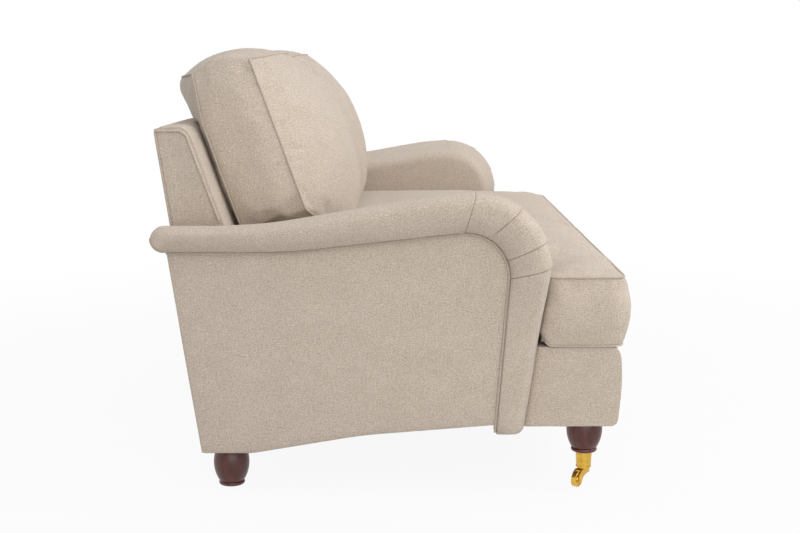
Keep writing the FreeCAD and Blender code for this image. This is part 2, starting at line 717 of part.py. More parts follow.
arms()
back()
base()
legs()
casters()
springs()
cushions()

os.makedirs("parts", exist_ok=True)
for name, solids in PIECES.items():
    shape = solids[0] if len(solids) == 1 else Part.makeCompound(solids)
    shape.exportStep("parts/" + name + ".step")
    print(name, shape.isValid(), len(shape.Solids), round(shape.Volume), shape.BoundBox)
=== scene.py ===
import math

import bpy
import numpy as np
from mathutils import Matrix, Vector
from mathutils.kdtree import KDTree


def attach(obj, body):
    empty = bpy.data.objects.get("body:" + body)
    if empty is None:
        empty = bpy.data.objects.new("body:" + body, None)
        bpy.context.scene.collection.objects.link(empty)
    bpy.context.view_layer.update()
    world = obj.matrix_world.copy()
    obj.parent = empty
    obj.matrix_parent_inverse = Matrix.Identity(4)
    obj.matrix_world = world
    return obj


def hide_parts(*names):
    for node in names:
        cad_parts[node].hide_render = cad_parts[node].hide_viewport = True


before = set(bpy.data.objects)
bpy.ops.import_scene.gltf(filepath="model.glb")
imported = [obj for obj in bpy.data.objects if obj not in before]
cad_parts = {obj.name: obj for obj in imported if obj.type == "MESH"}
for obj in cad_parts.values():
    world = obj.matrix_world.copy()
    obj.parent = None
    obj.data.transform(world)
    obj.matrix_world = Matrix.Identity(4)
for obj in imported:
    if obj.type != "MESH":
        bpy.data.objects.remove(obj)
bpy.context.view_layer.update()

MM = 0.001  # lengths are millimetres until a mesh is made


# Camera, lamps and floor


def add(name, data):
    """A new object for the data, in the scene."""
    made = bpy.data.objects.new(name, data)
    bpy.context.scene.collection.objects.link(made)
    return made


def place_camera(eye, down, turn, lens):
    """A camera that looks along +X, turned down and to the left by degrees."""
    data = bpy.data.cameras.new("camera")
    data.lens, data.sensor_width = lens, 36.0
    data.clip_start, data.clip_end = 0.05, 100.0
    camera = add("camera", data)
    down, turn = math.radians(down), math.radians(turn)
    ahead = Vector((math.cos(down) * math.cos(turn), math.cos(down) * math.sin(turn), -math.sin(down)))
    camera.location = eye
    camera.rotation_mode = "QUATERNION"
    camera.rotation_quaternion = ahead.to_track_quat("-Z", "Y")
    bpy.context.scene.camera = camera


def lamp(name, place, target, size, power):
    """A soft rectangular lamp that the camera doesn't see."""
    data = bpy.data.lights.new(name, "AREA")
    data.shape, data.size, data.size_y, data.energy = "RECTANGLE", size[0], size[1], power
    made = add(name, data)
    made.location = place
    made.rotation_mode = "QUATERNION"
    made.rotation_quaternion = (Vector(target) - Vector(place)).to_track_quat("-Z", "Y")
    made.visible_camera = False


place_camera(eye=(-3.366, -0.0218, 0.878), down=9.03, turn=0.176, lens=58.5)
# name, place, what it points at, size in metres, power in watts
lamp("overhead_softbox", (-0.5, -2.6, 3.0), (0.0, 0.0, 0.4), (2.6, 2.0), 76)
lamp("side_softbox", (-3.0, -0.6, 2.6), (0.0, 0.0, 0.4), (2.4, 1.6), 20)
lamp("side_fill", (-3.2, -0.4, 0.6), (0.0, 0.0, 0.45), (2.6, 1.0), 18)
lamp("front_fill", (-0.2, -3.8, 0.8), (0.0, 0.0, 0.45), (3.0, 1.4), 8)
lamp("rear_fill", (2.2, 3.2, 2.2), (0.0, 0.0, 0.4), (2.4, 2.0), 30)


# Finishes


class Value:
    """A socket in a node tree; an expression on it adds the Math nodes it needs."""

    def __init__(self, tree, socket):
        self.tree, self.socket = tree, socket

    def output(self, name):
        """Another output of the same node."""
        return Value(self.tree, self.socket.node.outputs[name])

    def clamped(self):
        return self.at_least(0.0).at_most(1.0)


def math_method(operation, swapped=False):
    """A method that adds a Math node for its own value and another, in this order or swapped."""

    def method(self, other=0.0):
        first, second = (other, self) if swapped else (self, other)
        return self.tree.node("ShaderNodeMath", {"operation": operation}, {0: first, 1: second})

    return method


for method, operation in (
    ("__add__", "ADD"), ("__sub__", "SUBTRACT"), ("__mul__", "MULTIPLY"), ("__truediv__", "DIVIDE"),
    ("__pow__", "POWER"), ("__gt__", "GREATER_THAN"), ("floor", "FLOOR"), ("fraction", "FRACT"),
    ("sine", "SINE"), ("at_most", "MINIMUM"), ("at_least", "MAXIMUM"),
):
    setattr(Value, method, math_method(operation))
for method, operation in (("__radd__", "ADD"), ("__rsub__", "SUBTRACT"), ("__rmul__", "MULTIPLY")):
    setattr(Value, method, math_method(operation, swapped=True))


class Tree:
    """A node tree that is being built."""

    def __init__(self, tree):
        self.tree = tree

    def node(self, kind, settings=None, inputs=None, output=0):
        made = self.tree.nodes.new(kind)
        for key, value in (settings or {}).items():
            setattr(made, key, value)
        for key, value in (inputs or {}).items():
            self.feed(made.inputs[key], value)
        return Value(self, made.outputs[output]) if made.outputs else made

    def feed(self, socket, value):
        if isinstance(value, Value):
            self.tree.links.new(value.socket, socket)
        else:
            socket.default_value = value

    def vector(self, x, y, z=0.0):
        return self.node("ShaderNodeCombineXYZ", {}, {0: x, 1: y, 2: z})

    def parts(self, vector):
        split = self.node("ShaderNodeSeparateXYZ", {}, {0: vector})
        return split, split.output("Y"), split.output("Z")


class Finish(Tree):
    """A material that is being built round its Principled shader."""

    def __init__(self, name):
        self.material = bpy.data.materials.new(name)
        self.material.use_nodes = True
        super().__init__(self.material.node_tree)
        self.shader = self.tree.nodes["Principled BSDF"]

    def say(self, **sockets):
        for name, value in sockets.items():
            self.feed(self.shader.inputs[name.replace("_", " ")], value)
        return self

    def place(self):
        """Object coordinates in millimetres."""
        at = self.node("ShaderNodeTexCoord", output="Object")
        scaled = self.node("ShaderNodeVectorMath", {"operation": "SCALE"}, {0: at, "Scale": 1000.0})
        return self.parts(scaled)

    def cloth(self):
        """Millimetres along the cloth's two yarns, which each piece carries."""
        at = self.node("ShaderNodeAttribute", {"attribute_name": "weave"}, output="Vector")
        return self.parts(at)[:2]

    def noise(self, x, y, z=0.0, detail=2.0, roughness=0.5):
        settings = {"noise_dimensions": "3D"}
        sockets = {"Vector": self.vector(x, y, z), "Scale": 1.0, "Detail": detail, "Roughness": roughness}
        return self.node("ShaderNodeTexNoise", settings, sockets)

    def mix(self, share, a, b, blend="MIX"):
        settings = {"data_type": "RGBA", "blend_type": blend}
        return self.node("ShaderNodeMix", settings, {0: share, 6: a, 7: b}, output=2)

    def bump(self, height, depth, strength=1.0):
        """Normals of a height in millimetres."""
        inputs = {"Strength": strength, "Distance": depth * MM, "Height": height}
        return self.node("ShaderNodeBump", {}, inputs)


def colour(red, green, blue):
    """A linear colour from the eight-bit numbers of a screen."""
    shares = (red / 255, green / 255, blue / 255)
    return (*(c / 12.92 if c <= 0.04 else ((c + 0.055) / 1.055) ** 2.4 for c in shares), 1.0)


def linen_finish(name, dark, light, yarn, contrast):
    """Plain woven heather linen: single yarns over and under, thick slubs, a soft mottle and painted shade in
    the gaps between the yarns.
    """
    f = Finish(name)
    u, v = f.cloth()
    warp, weft = u / yarn, v / yarn
    warp_number, weft_number = warp.floor(), weft.floor()
    over = ((warp_number + weft_number) / 2.0).fraction() > 0.25
    warp_tone = f.noise(warp_number * 3.71, v / 17.0, 2.0, detail=3)
    weft_tone = f.noise(u / 17.0, weft_number * 3.71, 9.0, detail=3)
    yarn_tone = warp_tone * over + weft_tone * (1.0 - over)
    fleck = f.noise(u / 3.0, v / 2.4, 4.0, detail=2, roughness=0.65)
    mottle = f.noise(u / 60.0, v / 50.0, 7.0, detail=2)
    tone = (yarn_tone - 0.5) * (1.2 * contrast) + (fleck - 0.5) * (2.0 * contrast)
    tone = tone + (mottle - 0.5) * (0.2 * contrast) + 0.5
    across_warp = (warp.fraction() * math.pi).sine()
    across_weft = (weft.fraction() * math.pi).sine()
    hump = over * across_warp * (0.55 + 0.45 * across_weft)
    hump = hump + (1.0 - over) * across_weft * (0.55 + 0.45 * across_warp)
    slub = (yarn_tone - 0.5).at_least(0.0) * 1.6
    shade = tone.clamped()
    # Painted shade: the cloth's colour is darkened in the hollows between the raised yarns.
    painted_gap_shade = 1.0 - 0.22 * (1.0 - hump)
    cloth = f.mix(shade, dark, light)
    cloth_with_painted_gap_shade = f.mix(1.0, cloth, f.vector(painted_gap_shade, painted_gap_shade, painted_gap_shade), "MULTIPLY")
    f.say(Base_Color=cloth_with_painted_gap_shade, Roughness=0.95 - 0.08 * shade, Normal=f.bump(hump + slub, 0.32))
    f.say(Sheen_Weight=0.22, Sheen_Roughness=0.45, Specular_IOR_Level=0.25)
    return f.material


def wood_finish(name, dark, light, roughness, coat, along=2):
    """Straight-grained wood along one axis, with pores and a soft figure."""
    f = Finish(name)
    parts = list(f.place())
    length = parts.pop(along)
    x, y = parts
    figure = f.noise(x / 9.0, y / 9.0, length / 70.0, detail=4, roughness=0.6)
    rings = ((x * 0.21 + y * 0.13 + figure * 5.0 + length / 120.0) * 1.9).sine() * 0.5 + 0.5
    pores = f.noise(x / 0.7, y / 0.7, length / 9.0, detail=2)
    pore = (pores - 0.56).at_least(0.0) * 3.0
    shade = (rings * 0.35 + figure * 0.75 - 0.1 - pore).clamped()
    f.say(Base_Color=f.mix(shade, dark, light), Roughness=roughness + 0.12 * figure - 0.06)
    f.say(Coat_Weight=coat, Coat_Roughness=0.12, Normal=f.bump(0.0 - pore, 0.12 if coat else 0.25, 0.5))
    return f.material


def metal_finish(name, tone, worn, roughness):
    """Polished metal with fine scratches and a breath of tarnish."""
    f = Finish(name)
    x, y, z = f.place()
    cloud = f.noise(x / 11.0, y / 11.0, z / 11.0, detail=4)
    scratch = f.noise(x / 0.5, y / 0.5, z / 6.0, detail=2)
    f.say(Base_Color=f.mix((cloud * 1.6 - 0.45).clamped(), worn, tone), Metallic=1.0)
    f.say(Roughness=roughness + 0.14 * cloud + 0.08 * scratch - 0.08, Normal=f.bump(scratch, 0.02, 0.35))
    return f.material


def webbing_finish():
    """Elastic webbing: a fine herringbone with two stripes along each strap."""
    f = Finish("elastic_webbing")
    x, y, z = f.place()
    rib = (z * 2.2 + (x / 6.0).fraction() * 5.0).sine() * 0.5 + 0.5
    stripe = ((x + 12.5) / 25.0).fraction() > 0.86
    f.say(Base_Color=f.mix(stripe, colour(198, 188, 166), colour(120, 60, 48)), Roughness=0.85 - 0.1 * rib)
    f.say(Normal=f.bump(rib, 0.4))
    return f.material


def foam_finish():
    """Open-celled cushion foam."""
    f = Finish("cushion_foam")
    x, y, z = f.place()
    cells = f.noise(x / 1.3, y / 1.3, z / 1.3, detail=3, roughness=0.7)
    mottle = f.noise(x / 60.0, y / 60.0, z / 60.0)
    tone = f.mix(cells * 0.6 + mottle * 0.4, colour(206, 194, 160), colour(240, 233, 210))
    f.say(Base_Color=tone, Roughness=0.93 - 0.05 * cells)
    f.say(Normal=f.bump(cells, 0.8, 0.8))
    return f.material


def lining_finish(name, dark, light):
    """Thin spun-bonded lining with its pressed dot pattern."""
    f = Finish(name)
    u, v = f.cloth()
    dot = (u * 2.1).sine() * (v * 2.1).sine()
    fibre = f.noise(u / 1.1, v / 4.0, 3.0, detail=3, roughness=0.7)
    slack = f.noise(u / 90.0, v / 90.0, 5.0, detail=2)
    tone = f.mix((fibre * 0.8 + slack * 0.5 - 0.15).at_least(0.0), dark, light)
    f.say(Base_Color=tone, Roughness=0.9 - 0.15 * fibre)
    f.say(Normal=f.bump(dot * 0.5 + fibre, 0.25))
    return f.material


LINEN = linen_finish("heather_linen", colour(164, 147, 131), colour(234, 220, 205), 1.3, 0.85)
DECK_LINEN = linen_finish("deck_lining", colour(150, 136, 120), colour(224, 213, 199), 1.6, 0.7)
LEG_WOOD = wood_finish("dark_mahogany", colour(52, 16, 12), colour(104, 42, 31), 0.4, 0.15)
FRAME_WOOD = wood_finish("pale_beech", colour(176, 132, 88), colour(222, 186, 140), 0.6, 0.0, along=0)
POST_WOOD = wood_finish("pale_beech_upright", colour(176, 132, 88), colour(222, 186, 140), 0.6, 0.0, along=2)
BRASS = metal_finish("lacquered_brass", colour(236, 200, 96), colour(202, 158, 62), 0.22)
STEEL = metal_finish("spring_steel", colour(170, 170, 172), colour(96, 94, 92), 0.3)
WEBBING = webbing_finish()
FOAM = foam_finish()
DUST_CLOTH = lining_finish("black_dust_cloth", colour(22, 21, 21), colour(52, 50, 49))


FLOOR_HALF = 14.0      # metres from the middle to the floor's edge
FADE = 2600.0          # distance from the middle at which the floor is plain white
NEAR_WHITE = 0.92      # share of plain white under the sofa; the rest takes its shadow
DAYLIGHT = 0.66        # strength of the light from all round


def seen(tree):
    """1 for what the camera sees, directly or by way of a shiny or a clear surface."""
    path = tree.node("ShaderNodeLightPath")
    rays = path.output("Is Camera Ray") + path.output("Is Glossy Ray") + path.output("Is Transmission Ray")
    return rays.at_most(1.0)


def stage():
    """A pale floor that turns to plain white for the camera but keeps the sofa's soft shadow."""
    f = Finish("studio_floor")
    f.tree.nodes.remove(f.shader)
    x, y, z = f.place()
    far = ((x / FADE) ** 2.0 + (y / FADE) ** 2.0).at_most(1.0)
    grain = f.noise(x / 4.0, y / 4.0, 0.0, detail=2)
    tone = f.mix(grain, colour(200, 199, 197), colour(206, 205, 204))
    ground = f.node("ShaderNodeBsdfDiffuse", {}, {"Color": tone})
    glow = f.node("ShaderNodeEmission", {}, {"Color": (1.0, 1.0, 1.0, 1.0), "Strength": 1.0})
    share = seen(f) * (NEAR_WHITE + (1 - NEAR_WHITE) * far)
    mixed = f.node("ShaderNodeMixShader", {}, {0: share, 1: ground, 2: glow})
    f.feed(f.tree.nodes["Material Output"].inputs["Surface"], mixed)
    mesh = bpy.data.meshes.new("studio_floor")
    corners = [(-1, -1), (1, -1), (1, 1), (-1, 1)]
    mesh.from_pydata([(x * FLOOR_HALF, y * FLOOR_HALF, 0) for x, y in corners], [], [(0, 1, 2, 3)])
    mesh.materials.append(f.material)
    add("studio_floor", mesh)

    world = bpy.data.worlds.new("studio")
    world.use_nodes = True
    bpy.context.scene.world = world
    w = Tree(world.node_tree)
    sky = w.tree.nodes["Background"]
    w.feed(sky.inputs["Color"], (1.0, 1.0, 1.0, 1.0))
    w.feed(sky.inputs["Strength"], DAYLIGHT + (1 - DAYLIGHT) * seen(w))
    bpy.context.scene.view_settings.view_transform = "Standard"


stage()


# Lines and random swells


def rounded(corners, step=5.0, closed=False):
    """Points along a line through (y, z, radius) corners, each turned on its radius."""
    corners = [(np.array(c[:2], float), c[2] if len(c) > 2 else 0.0) for c in corners]
    count, points = len(corners), []
    for i, (here, radius) in enumerate(corners):
        if radius <= 0 or (not closed and i in (0, count - 1)):
            points.append(here)
            continue
        back, ahead = corners[i - 1][0] - here, corners[(i + 1) % count][0] - here
        back, ahead = back / np.linalg.norm(back), ahead / np.linalg.norm(ahead)
        turn = math.pi - math.acos(float(np.clip(back @ ahead, -1, 1)))
        reach = radius * math.tan(turn / 2)
        middle = back + ahead
        centre = here + middle / np.linalg.norm(middle) * radius / math.cos(turn / 2)
        first, last = here + back * reach - centre, here + ahead * reach - centre
        parts = max(3, math.ceil(radius * turn / step))
        for k in range(parts + 1):
            f = k / parts
            spoke = (math.sin((1 - f) * turn) * first + math.sin(f * turn) * last) / math.sin(turn)
            points.append(centre + spoke)
    if closed:
        points.append(points[0])
    return np.array(points)


class Line:
    """A line through points that is read by the distance along it."""

    def __init__(self, points):
        self.points = np.array(points, float)
        runs = np.linalg.norm(np.diff(self.points, axis=0), axis=1)
        self.marks = np.concatenate([[0.0], np.cumsum(runs)])
        self.length = self.marks[-1]

    def at(self, distance):
        columns = [np.interp(distance, self.marks, self.points[:, k]) for k in range(self.points.shape[1])]
        return np.stack(columns, axis=-1)

    def nearest(self, point):
        """Distance along the line of its nearest place to the point."""
        marks = np.linspace(0, self.length, 4000)
        return float(marks[np.argmin(np.linalg.norm(self.at(marks) - np.array(point, float), axis=1))])


def swells(points, size, seed):
    """A smooth random field from -1 to 1 whose swells have the given size."""
    p = np.asarray(points, float) / size + seed * 7.31
    cell = np.floor(p).astype(np.int64)
    f = p - cell
    f = f * f * (3 - 2 * f)
    total = 0.0
    for corner in range(8):
        d = np.array([corner & 1, corner >> 1 & 1, corner >> 2 & 1])
        c = (cell + d) & 0xFFFF
        n = c[..., 0] * 73856093 ^ c[..., 1] * 19349663 ^ c[..., 2] * 83492791 ^ (seed * 2654435761 & 0xFFFFFF)
        n = (n ^ (n >> 13)) * 1274126177 & 0x7FFFFFFF
        n = n ^ (n >> 15)
        share = np.prod(np.where(d, f, 1 - f), axis=-1)
        total = total + share * ((n & 0xFFFF) / 32767.5 - 1)
    return total


def plane_swells(points, size, seed):
    """Swells over points of a plane."""
    return swells(np.column_stack([points, np.zeros(len(points))]), size, seed)


BASE_LOW = 92.0       # height of the base's underside at the rear


def back_plane(z):
    """Y of the outside back at a height."""
    return 386.7 + (z - BASE_LOW) * 0.148


def seat_plane(z):
    """Y of the inside back, on which the cushions lean, at a height."""
    return 343 + (z - 548.5) * 0.35


# Meshes


def cell_corners(grid):
    """The corners of each cell of a grid of numbers or points, in a ring."""
    return np.stack([grid[:-1, :-1], grid[1:, :-1], grid[1:, 1:], grid[:-1, 1:]], 2)


def grid_quads(rows, columns, closed=False):
    """Quads over a grid of points; a closed grid joins its last column to its first."""
    numbers = np.arange(rows * columns).reshape(rows, columns)
    if closed:
        numbers = np.column_stack([numbers, numbers[:, 0]])
    return cell_corners(numbers).reshape(-1, 4)


def grid_normals(points):
    """Unit normals of a grid of points, rows down and columns across."""
    down, along = np.gradient(points, axis=0), np.gradient(points, axis=1)
    normal = np.cross(down, along)
    return normal / np.maximum(np.linalg.norm(normal, axis=-1, keepdims=True), 1e-9)


def build_mesh(name, points, faces, finish, weave=None):
    """A smooth mesh from millimetres, with its cloth coordinates by point or by face corner."""
    mesh = bpy.data.meshes.new(name)
    places = (np.asarray(points, float).reshape(-1, 3) * MM).tolist()
    mesh.from_pydata(places, [], [list(map(int, f)) for f in faces])
    mesh.materials.append(finish)
    if weave is not None:
        weave = np.asarray(weave, np.float32).reshape(-1, 2)
        domain = "POINT" if len(weave) == len(mesh.vertices) else "CORNER"
        layer = mesh.attributes.new("weave", "FLOAT_VECTOR", domain)
        vectors = np.column_stack([weave, np.zeros(len(weave))]).astype(np.float32)
        layer.data.foreach_set("vector", vectors.ravel())
    mesh.polygons.foreach_set("use_smooth", np.ones(len(mesh.polygons), bool))
    mesh.update()
    return mesh


def piece(name, mesh, body, slot, *nodes):
    """The finished object: it rides on a body and stands for CAD nodes, which it hides; its slot is not used.
    """
    made = add(name, mesh)
    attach(made, body)
    if nodes:
        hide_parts(*nodes)
    return made


def vertices(mesh, what="co"):
    """The places of a mesh's points in metres, or their normals."""
    numbers = np.empty(len(mesh.vertices) * 3)
    mesh.vertices.foreach_get(what, numbers)
    return numbers.reshape(-1, 3)


def move_points(mesh, points):
    mesh.vertices.foreach_set("co", (points * MM).ravel())
    mesh.update()


def evaluated_mesh(obj):
    """The object's mesh with its modifiers carried out."""
    bpy.context.view_layer.update()
    return bpy.data.meshes.new_from_object(obj.evaluated_get(bpy.context.evaluated_depsgraph_get()))


def discard(obj):
    mesh = obj.data
    bpy.data.objects.remove(obj)
    bpy.data.meshes.remove(mesh)


def finished(name, mesh, modifiers):
    """The mesh with modifiers, given as (type, settings), carried out and removed."""
    work = add(name + "_work", mesh)
    for kind, settings in modifiers:
        modifier = work.modifiers.new(kind.lower(), kind)
        for key, value in settings.items():
            setattr(modifier, key, value)
    made = evaluated_mesh(work)
    discard(work)
    made.name = name
    return made


def smoothed(name, mesh, levels):
    return finished(name, mesh, [("SUBSURF", {"levels": levels, "render_levels": levels})])


SIDES = (("left", -1), ("right", 1))


def beside(x, places):
    """Points at one X from places given as (y, z)."""
    return np.column_stack([np.full(len(places), x), places])


def sided(points, side):
    """Points of the left side, or their mirror image on the right."""
    points = np.array(points, float)
    if side > 0:
        points[..., 0] *= -1
    return points


def turned(faces, side):
    """Face corners of the left side, or the same ones in turned order for the right."""
    faces = np.asarray(faces)
    return faces if side < 0 else faces[:, ::-1]


# Welts and staples, which follow a path

BIAS = 0.7071         # cosine of the strip's slant to the yarns


def path_tree(name, numbers):
    """A geometry tree with its sockets and the start of its path: evenly spaced points on a line."""
    group = bpy.data.node_groups.new(name, "GeometryNodeTree")
    tree = Tree(group)
    group.interface.new_socket("Geometry", in_out="INPUT", socket_type="NodeSocketGeometry")
    for label in numbers:
        group.interface.new_socket(label, in_out="INPUT", socket_type="NodeSocketFloat")
    group.interface.new_socket("Finish", in_out="INPUT", socket_type="NodeSocketMaterial")
    group.interface.new_socket("Geometry", in_out="OUTPUT", socket_type="NodeSocketGeometry")
    start = tree.node("NodeGroupInput")
    curve = tree.node("GeometryNodeMeshToCurve", {}, {0: start})
    inputs = {"Curve": curve, "Length": start.output("Spacing")}
    even = tree.node("GeometryNodeResampleCurve", {"mode": "LENGTH"}, inputs)
    return tree, start, even


def end_tree(tree, start, geometry):
    """Smooth faces, real geometry, one finish."""
    smooth = tree.node("GeometryNodeSetShadeSmooth", {}, {0: geometry})
    real = tree.node("GeometryNodeRealizeInstances", {}, {0: smooth})
    painted = tree.node("GeometryNodeSetMaterial", {}, {"Geometry": real, "Material": start.output("Finish")})
    tree.node("NodeGroupOutput", {}, {0: painted})
    return tree.tree


def wire_section(tree, radius, sides):
    inputs = {"Resolution": sides, "Radius": radius}
    return tree.node("GeometryNodeCurvePrimitiveCircle", {"mode": "RADIUS"}, inputs)


def stored(tree, geometry, name, kind, value):
    """The geometry with a named value at each of its points."""
    settings = {"data_type": kind, "domain": "POINT"}
    inputs = {"Geometry": geometry, "Name": name, "Value": value}
    return tree.node("GeometryNodeStoreNamedAttribute", settings, inputs)


def swept(tree, path, section):
    inputs = {"Curve": path, "Profile Curve": section, "Fill Caps": True}
    return tree.node("GeometryNodeCurveToMesh", {}, inputs)


def welt_tree():
    """A cord in a bias-cut strip of the cloth, which is swept along the path."""
    tree, start, even = path_tree("corded_welt", ("Radius", "Spacing"))
    marked = []
    for name, curve in (("along", even), ("around", wire_section(tree, start.output("Radius"), 10))):
        run = tree.node("GeometryNodeSplineParameter", output="Length")
        marked.append(stored(tree, curve, name, "FLOAT", run * 1000.0))
    cord = swept(tree, *marked)
    a, b = (
        tree.node("GeometryNodeInputNamedAttribute", {"data_type": "FLOAT"}, {"Name": name})
        for name in ("along", "around")
    )
    bias = tree.vector((a + b) * BIAS, (a - b) * BIAS)
    return end_tree(tree, start, stored(tree, cord, "weave", "FLOAT_VECTOR", bias))


def staple_tree():
    """Wire staples, one at each step of the path and in line with it."""
    tree, start, even = path_tree("staple_row", ("Radius", "Spacing", "Width"))
    radius, half, deep = start.output("Radius"), start.output("Width") * 0.5, start.output("Width") * 0.25
    tips, bends = (
        [tree.vector(half * sign, 0.0, height) for sign in (-1.0, 1.0)] for height in (deep * -1.0, radius)
    )
    wire = tree.node("GeometryNodeJoinGeometry")
    for first, last in (*zip(tips, bends), bends):
        bar = tree.node("GeometryNodeCurvePrimitiveLine", {"mode": "POINTS"}, {"Start": first, "End": last})
        tree.feed(wire.socket.node.inputs[0], bar)
    staple = swept(tree, wire, wire_section(tree, radius, 6))
    tangent = tree.node("GeometryNodeInputTangent")
    turn = tree.node("FunctionNodeAlignRotationToVector", {"axis": "X"}, {"Vector": tangent})
    inputs = {"Points": even, "Instance": staple, "Rotation": turn}
    placed = tree.node("GeometryNodeInstanceOnPoints", {}, inputs)
    return end_tree(tree, start, placed)


def along_paths(name, tree, paths, finish, **numbers):
    """The tree's pieces along paths of millimetre points, given as (points, closed)."""
    points, edges = [], []
    for path, closed in paths:
        first = len(points)
        points += [tuple(p) for p in np.asarray(path, float) * MM]
        last = len(points) - 1
        edges += [(i, i + 1) for i in range(first, last)]
        if closed:
            edges.append((last, first))
    mesh = bpy.data.meshes.new(name)
    mesh.from_pydata(points, edges, [])
    work = add(name + "_work", mesh)
    modifier = work.modifiers.new("path", "NODES")
    modifier.node_group = tree
    values = {"Finish": finish, **{key.capitalize(): value * MM for key, value in numbers.items()}}
    for item in tree.interface.items_tree:
        if item.in_out == "INPUT" and item.name in values:
            modifier[item.identifier] = values[item.name]
    made = evaluated_mesh(work)
    discard(work)
    made.name = name
    return made


WELT_TREE = welt_tree()
STAPLE_TREE = staple_tree()


def add_welt(name, paths, body, radius, *nodes):
    """A welt in the sofa's linen along the paths."""
    cord = along_paths(name, WELT_TREE, paths, LINEN, radius=radius, spacing=4)
    piece(name, cord, body, "linen", *nodes)


# Arms

# Lines in the side view, through corners given as (y, z, radius): the roll's crest, the welt
# between the roll and the outside panel, and the base's underside
RIDGE = [
    (-209, 132), (-263, 132, 14), (-338, 622, 150), (-107, 622, 600),
    (273, 556, 1000), (478, 556, 27), (476, 518, 30), (450, 505),
]
WELT = [(-207, 134), (-208, 151.5), (-240, 553, 88), (208, 503, 900), (447.5, 503)]
SWEEP = [(285, 92, 120), (63, 129.5, 900), (-205, 151.5)]
KNOTS = [  # matching places on the ridge and the welt; the pleats run between the middle four
    ((-209, 132), (-207, 136)), ((-263, 150), (-208, 152)), ((-289, 300), (-219.9, 300)),
    ((-317.7, 476.4), (-234, 452.4)), ((-302, 528.2), (-219.8, 486.9)), ((-250, 591.2), (-185.4, 529.5)),
    ((-161, 621.5), (-140.5, 538)), ((-95, 620.5), (-92, 537)), ((300, 556), (300, 503)),
    ((445, 556), (430, 503)), ((478, 535), (444, 503)), ((452, 506), (447.5, 503)),
]
PANEL_X = 829.0
ROLL_DEPTH = 45.0     # how far the roll stands out from the panel
BAND_DEPTH = 12.0     # how far the front band stands out at its foot
BAND_TOP, ROLL_LOW = 320.0, 515.0         # heights between which the band deepens to the roll
LIP = 12.0            # how far the roll stands out right beside the welt
GROOVE = 1.8          # distance from the welt to the roll's first row
INNER_X = 657.0
BACK_SIDE_X = 747.0
TOP_FALL = 24.0       # how far the arm's top falls from its crest to its inner edge
TUCK = 38.0           # how far the cover is tucked in beside the back and behind the front band
RISE_ROWS, SHOULDER_ROWS = 16, 12
INSIDE = -99.0        # marks the rows of the arm's inner face
PLEAT_STARTS = (-0.1, -0.1, 0.12, -0.1)   # share of the way out at which each pleat begins
ARM_WELT_R = 2.5
ARM_WELT_OUT, ARM_WELT_IN = 3.4, 1.9      # its path beyond the panel and inside the seam


def quarter(angle, fullness=2.3):
    """Share of the run and of the rise of a soft quarter round; 2 is a circle and more is squarer."""
    return np.sin(angle) ** (2 / fullness), np.cos(angle) ** (2 / fullness)


def arm_columns(ridge, pleats):
    """Distances along the ridge: even steps, and close ones at each pleat's fold."""
    near = [p + d for p in pleats for d in (-9, -6, -4, -2.4, -1.3, -0.7, -0.25, 0.0, 0.35, 0.9, 1.8, 3, 5, 8)]
    turn = ridge.nearest((343.5, 556))
    near += [turn - 3, turn, turn + 1.2]
    even = [m for m in np.arange(0, ridge.length, 4.5) if min(abs(m - n) for n in near) > 1.5]
    return np.array(sorted(even + near + [ridge.length])), turn


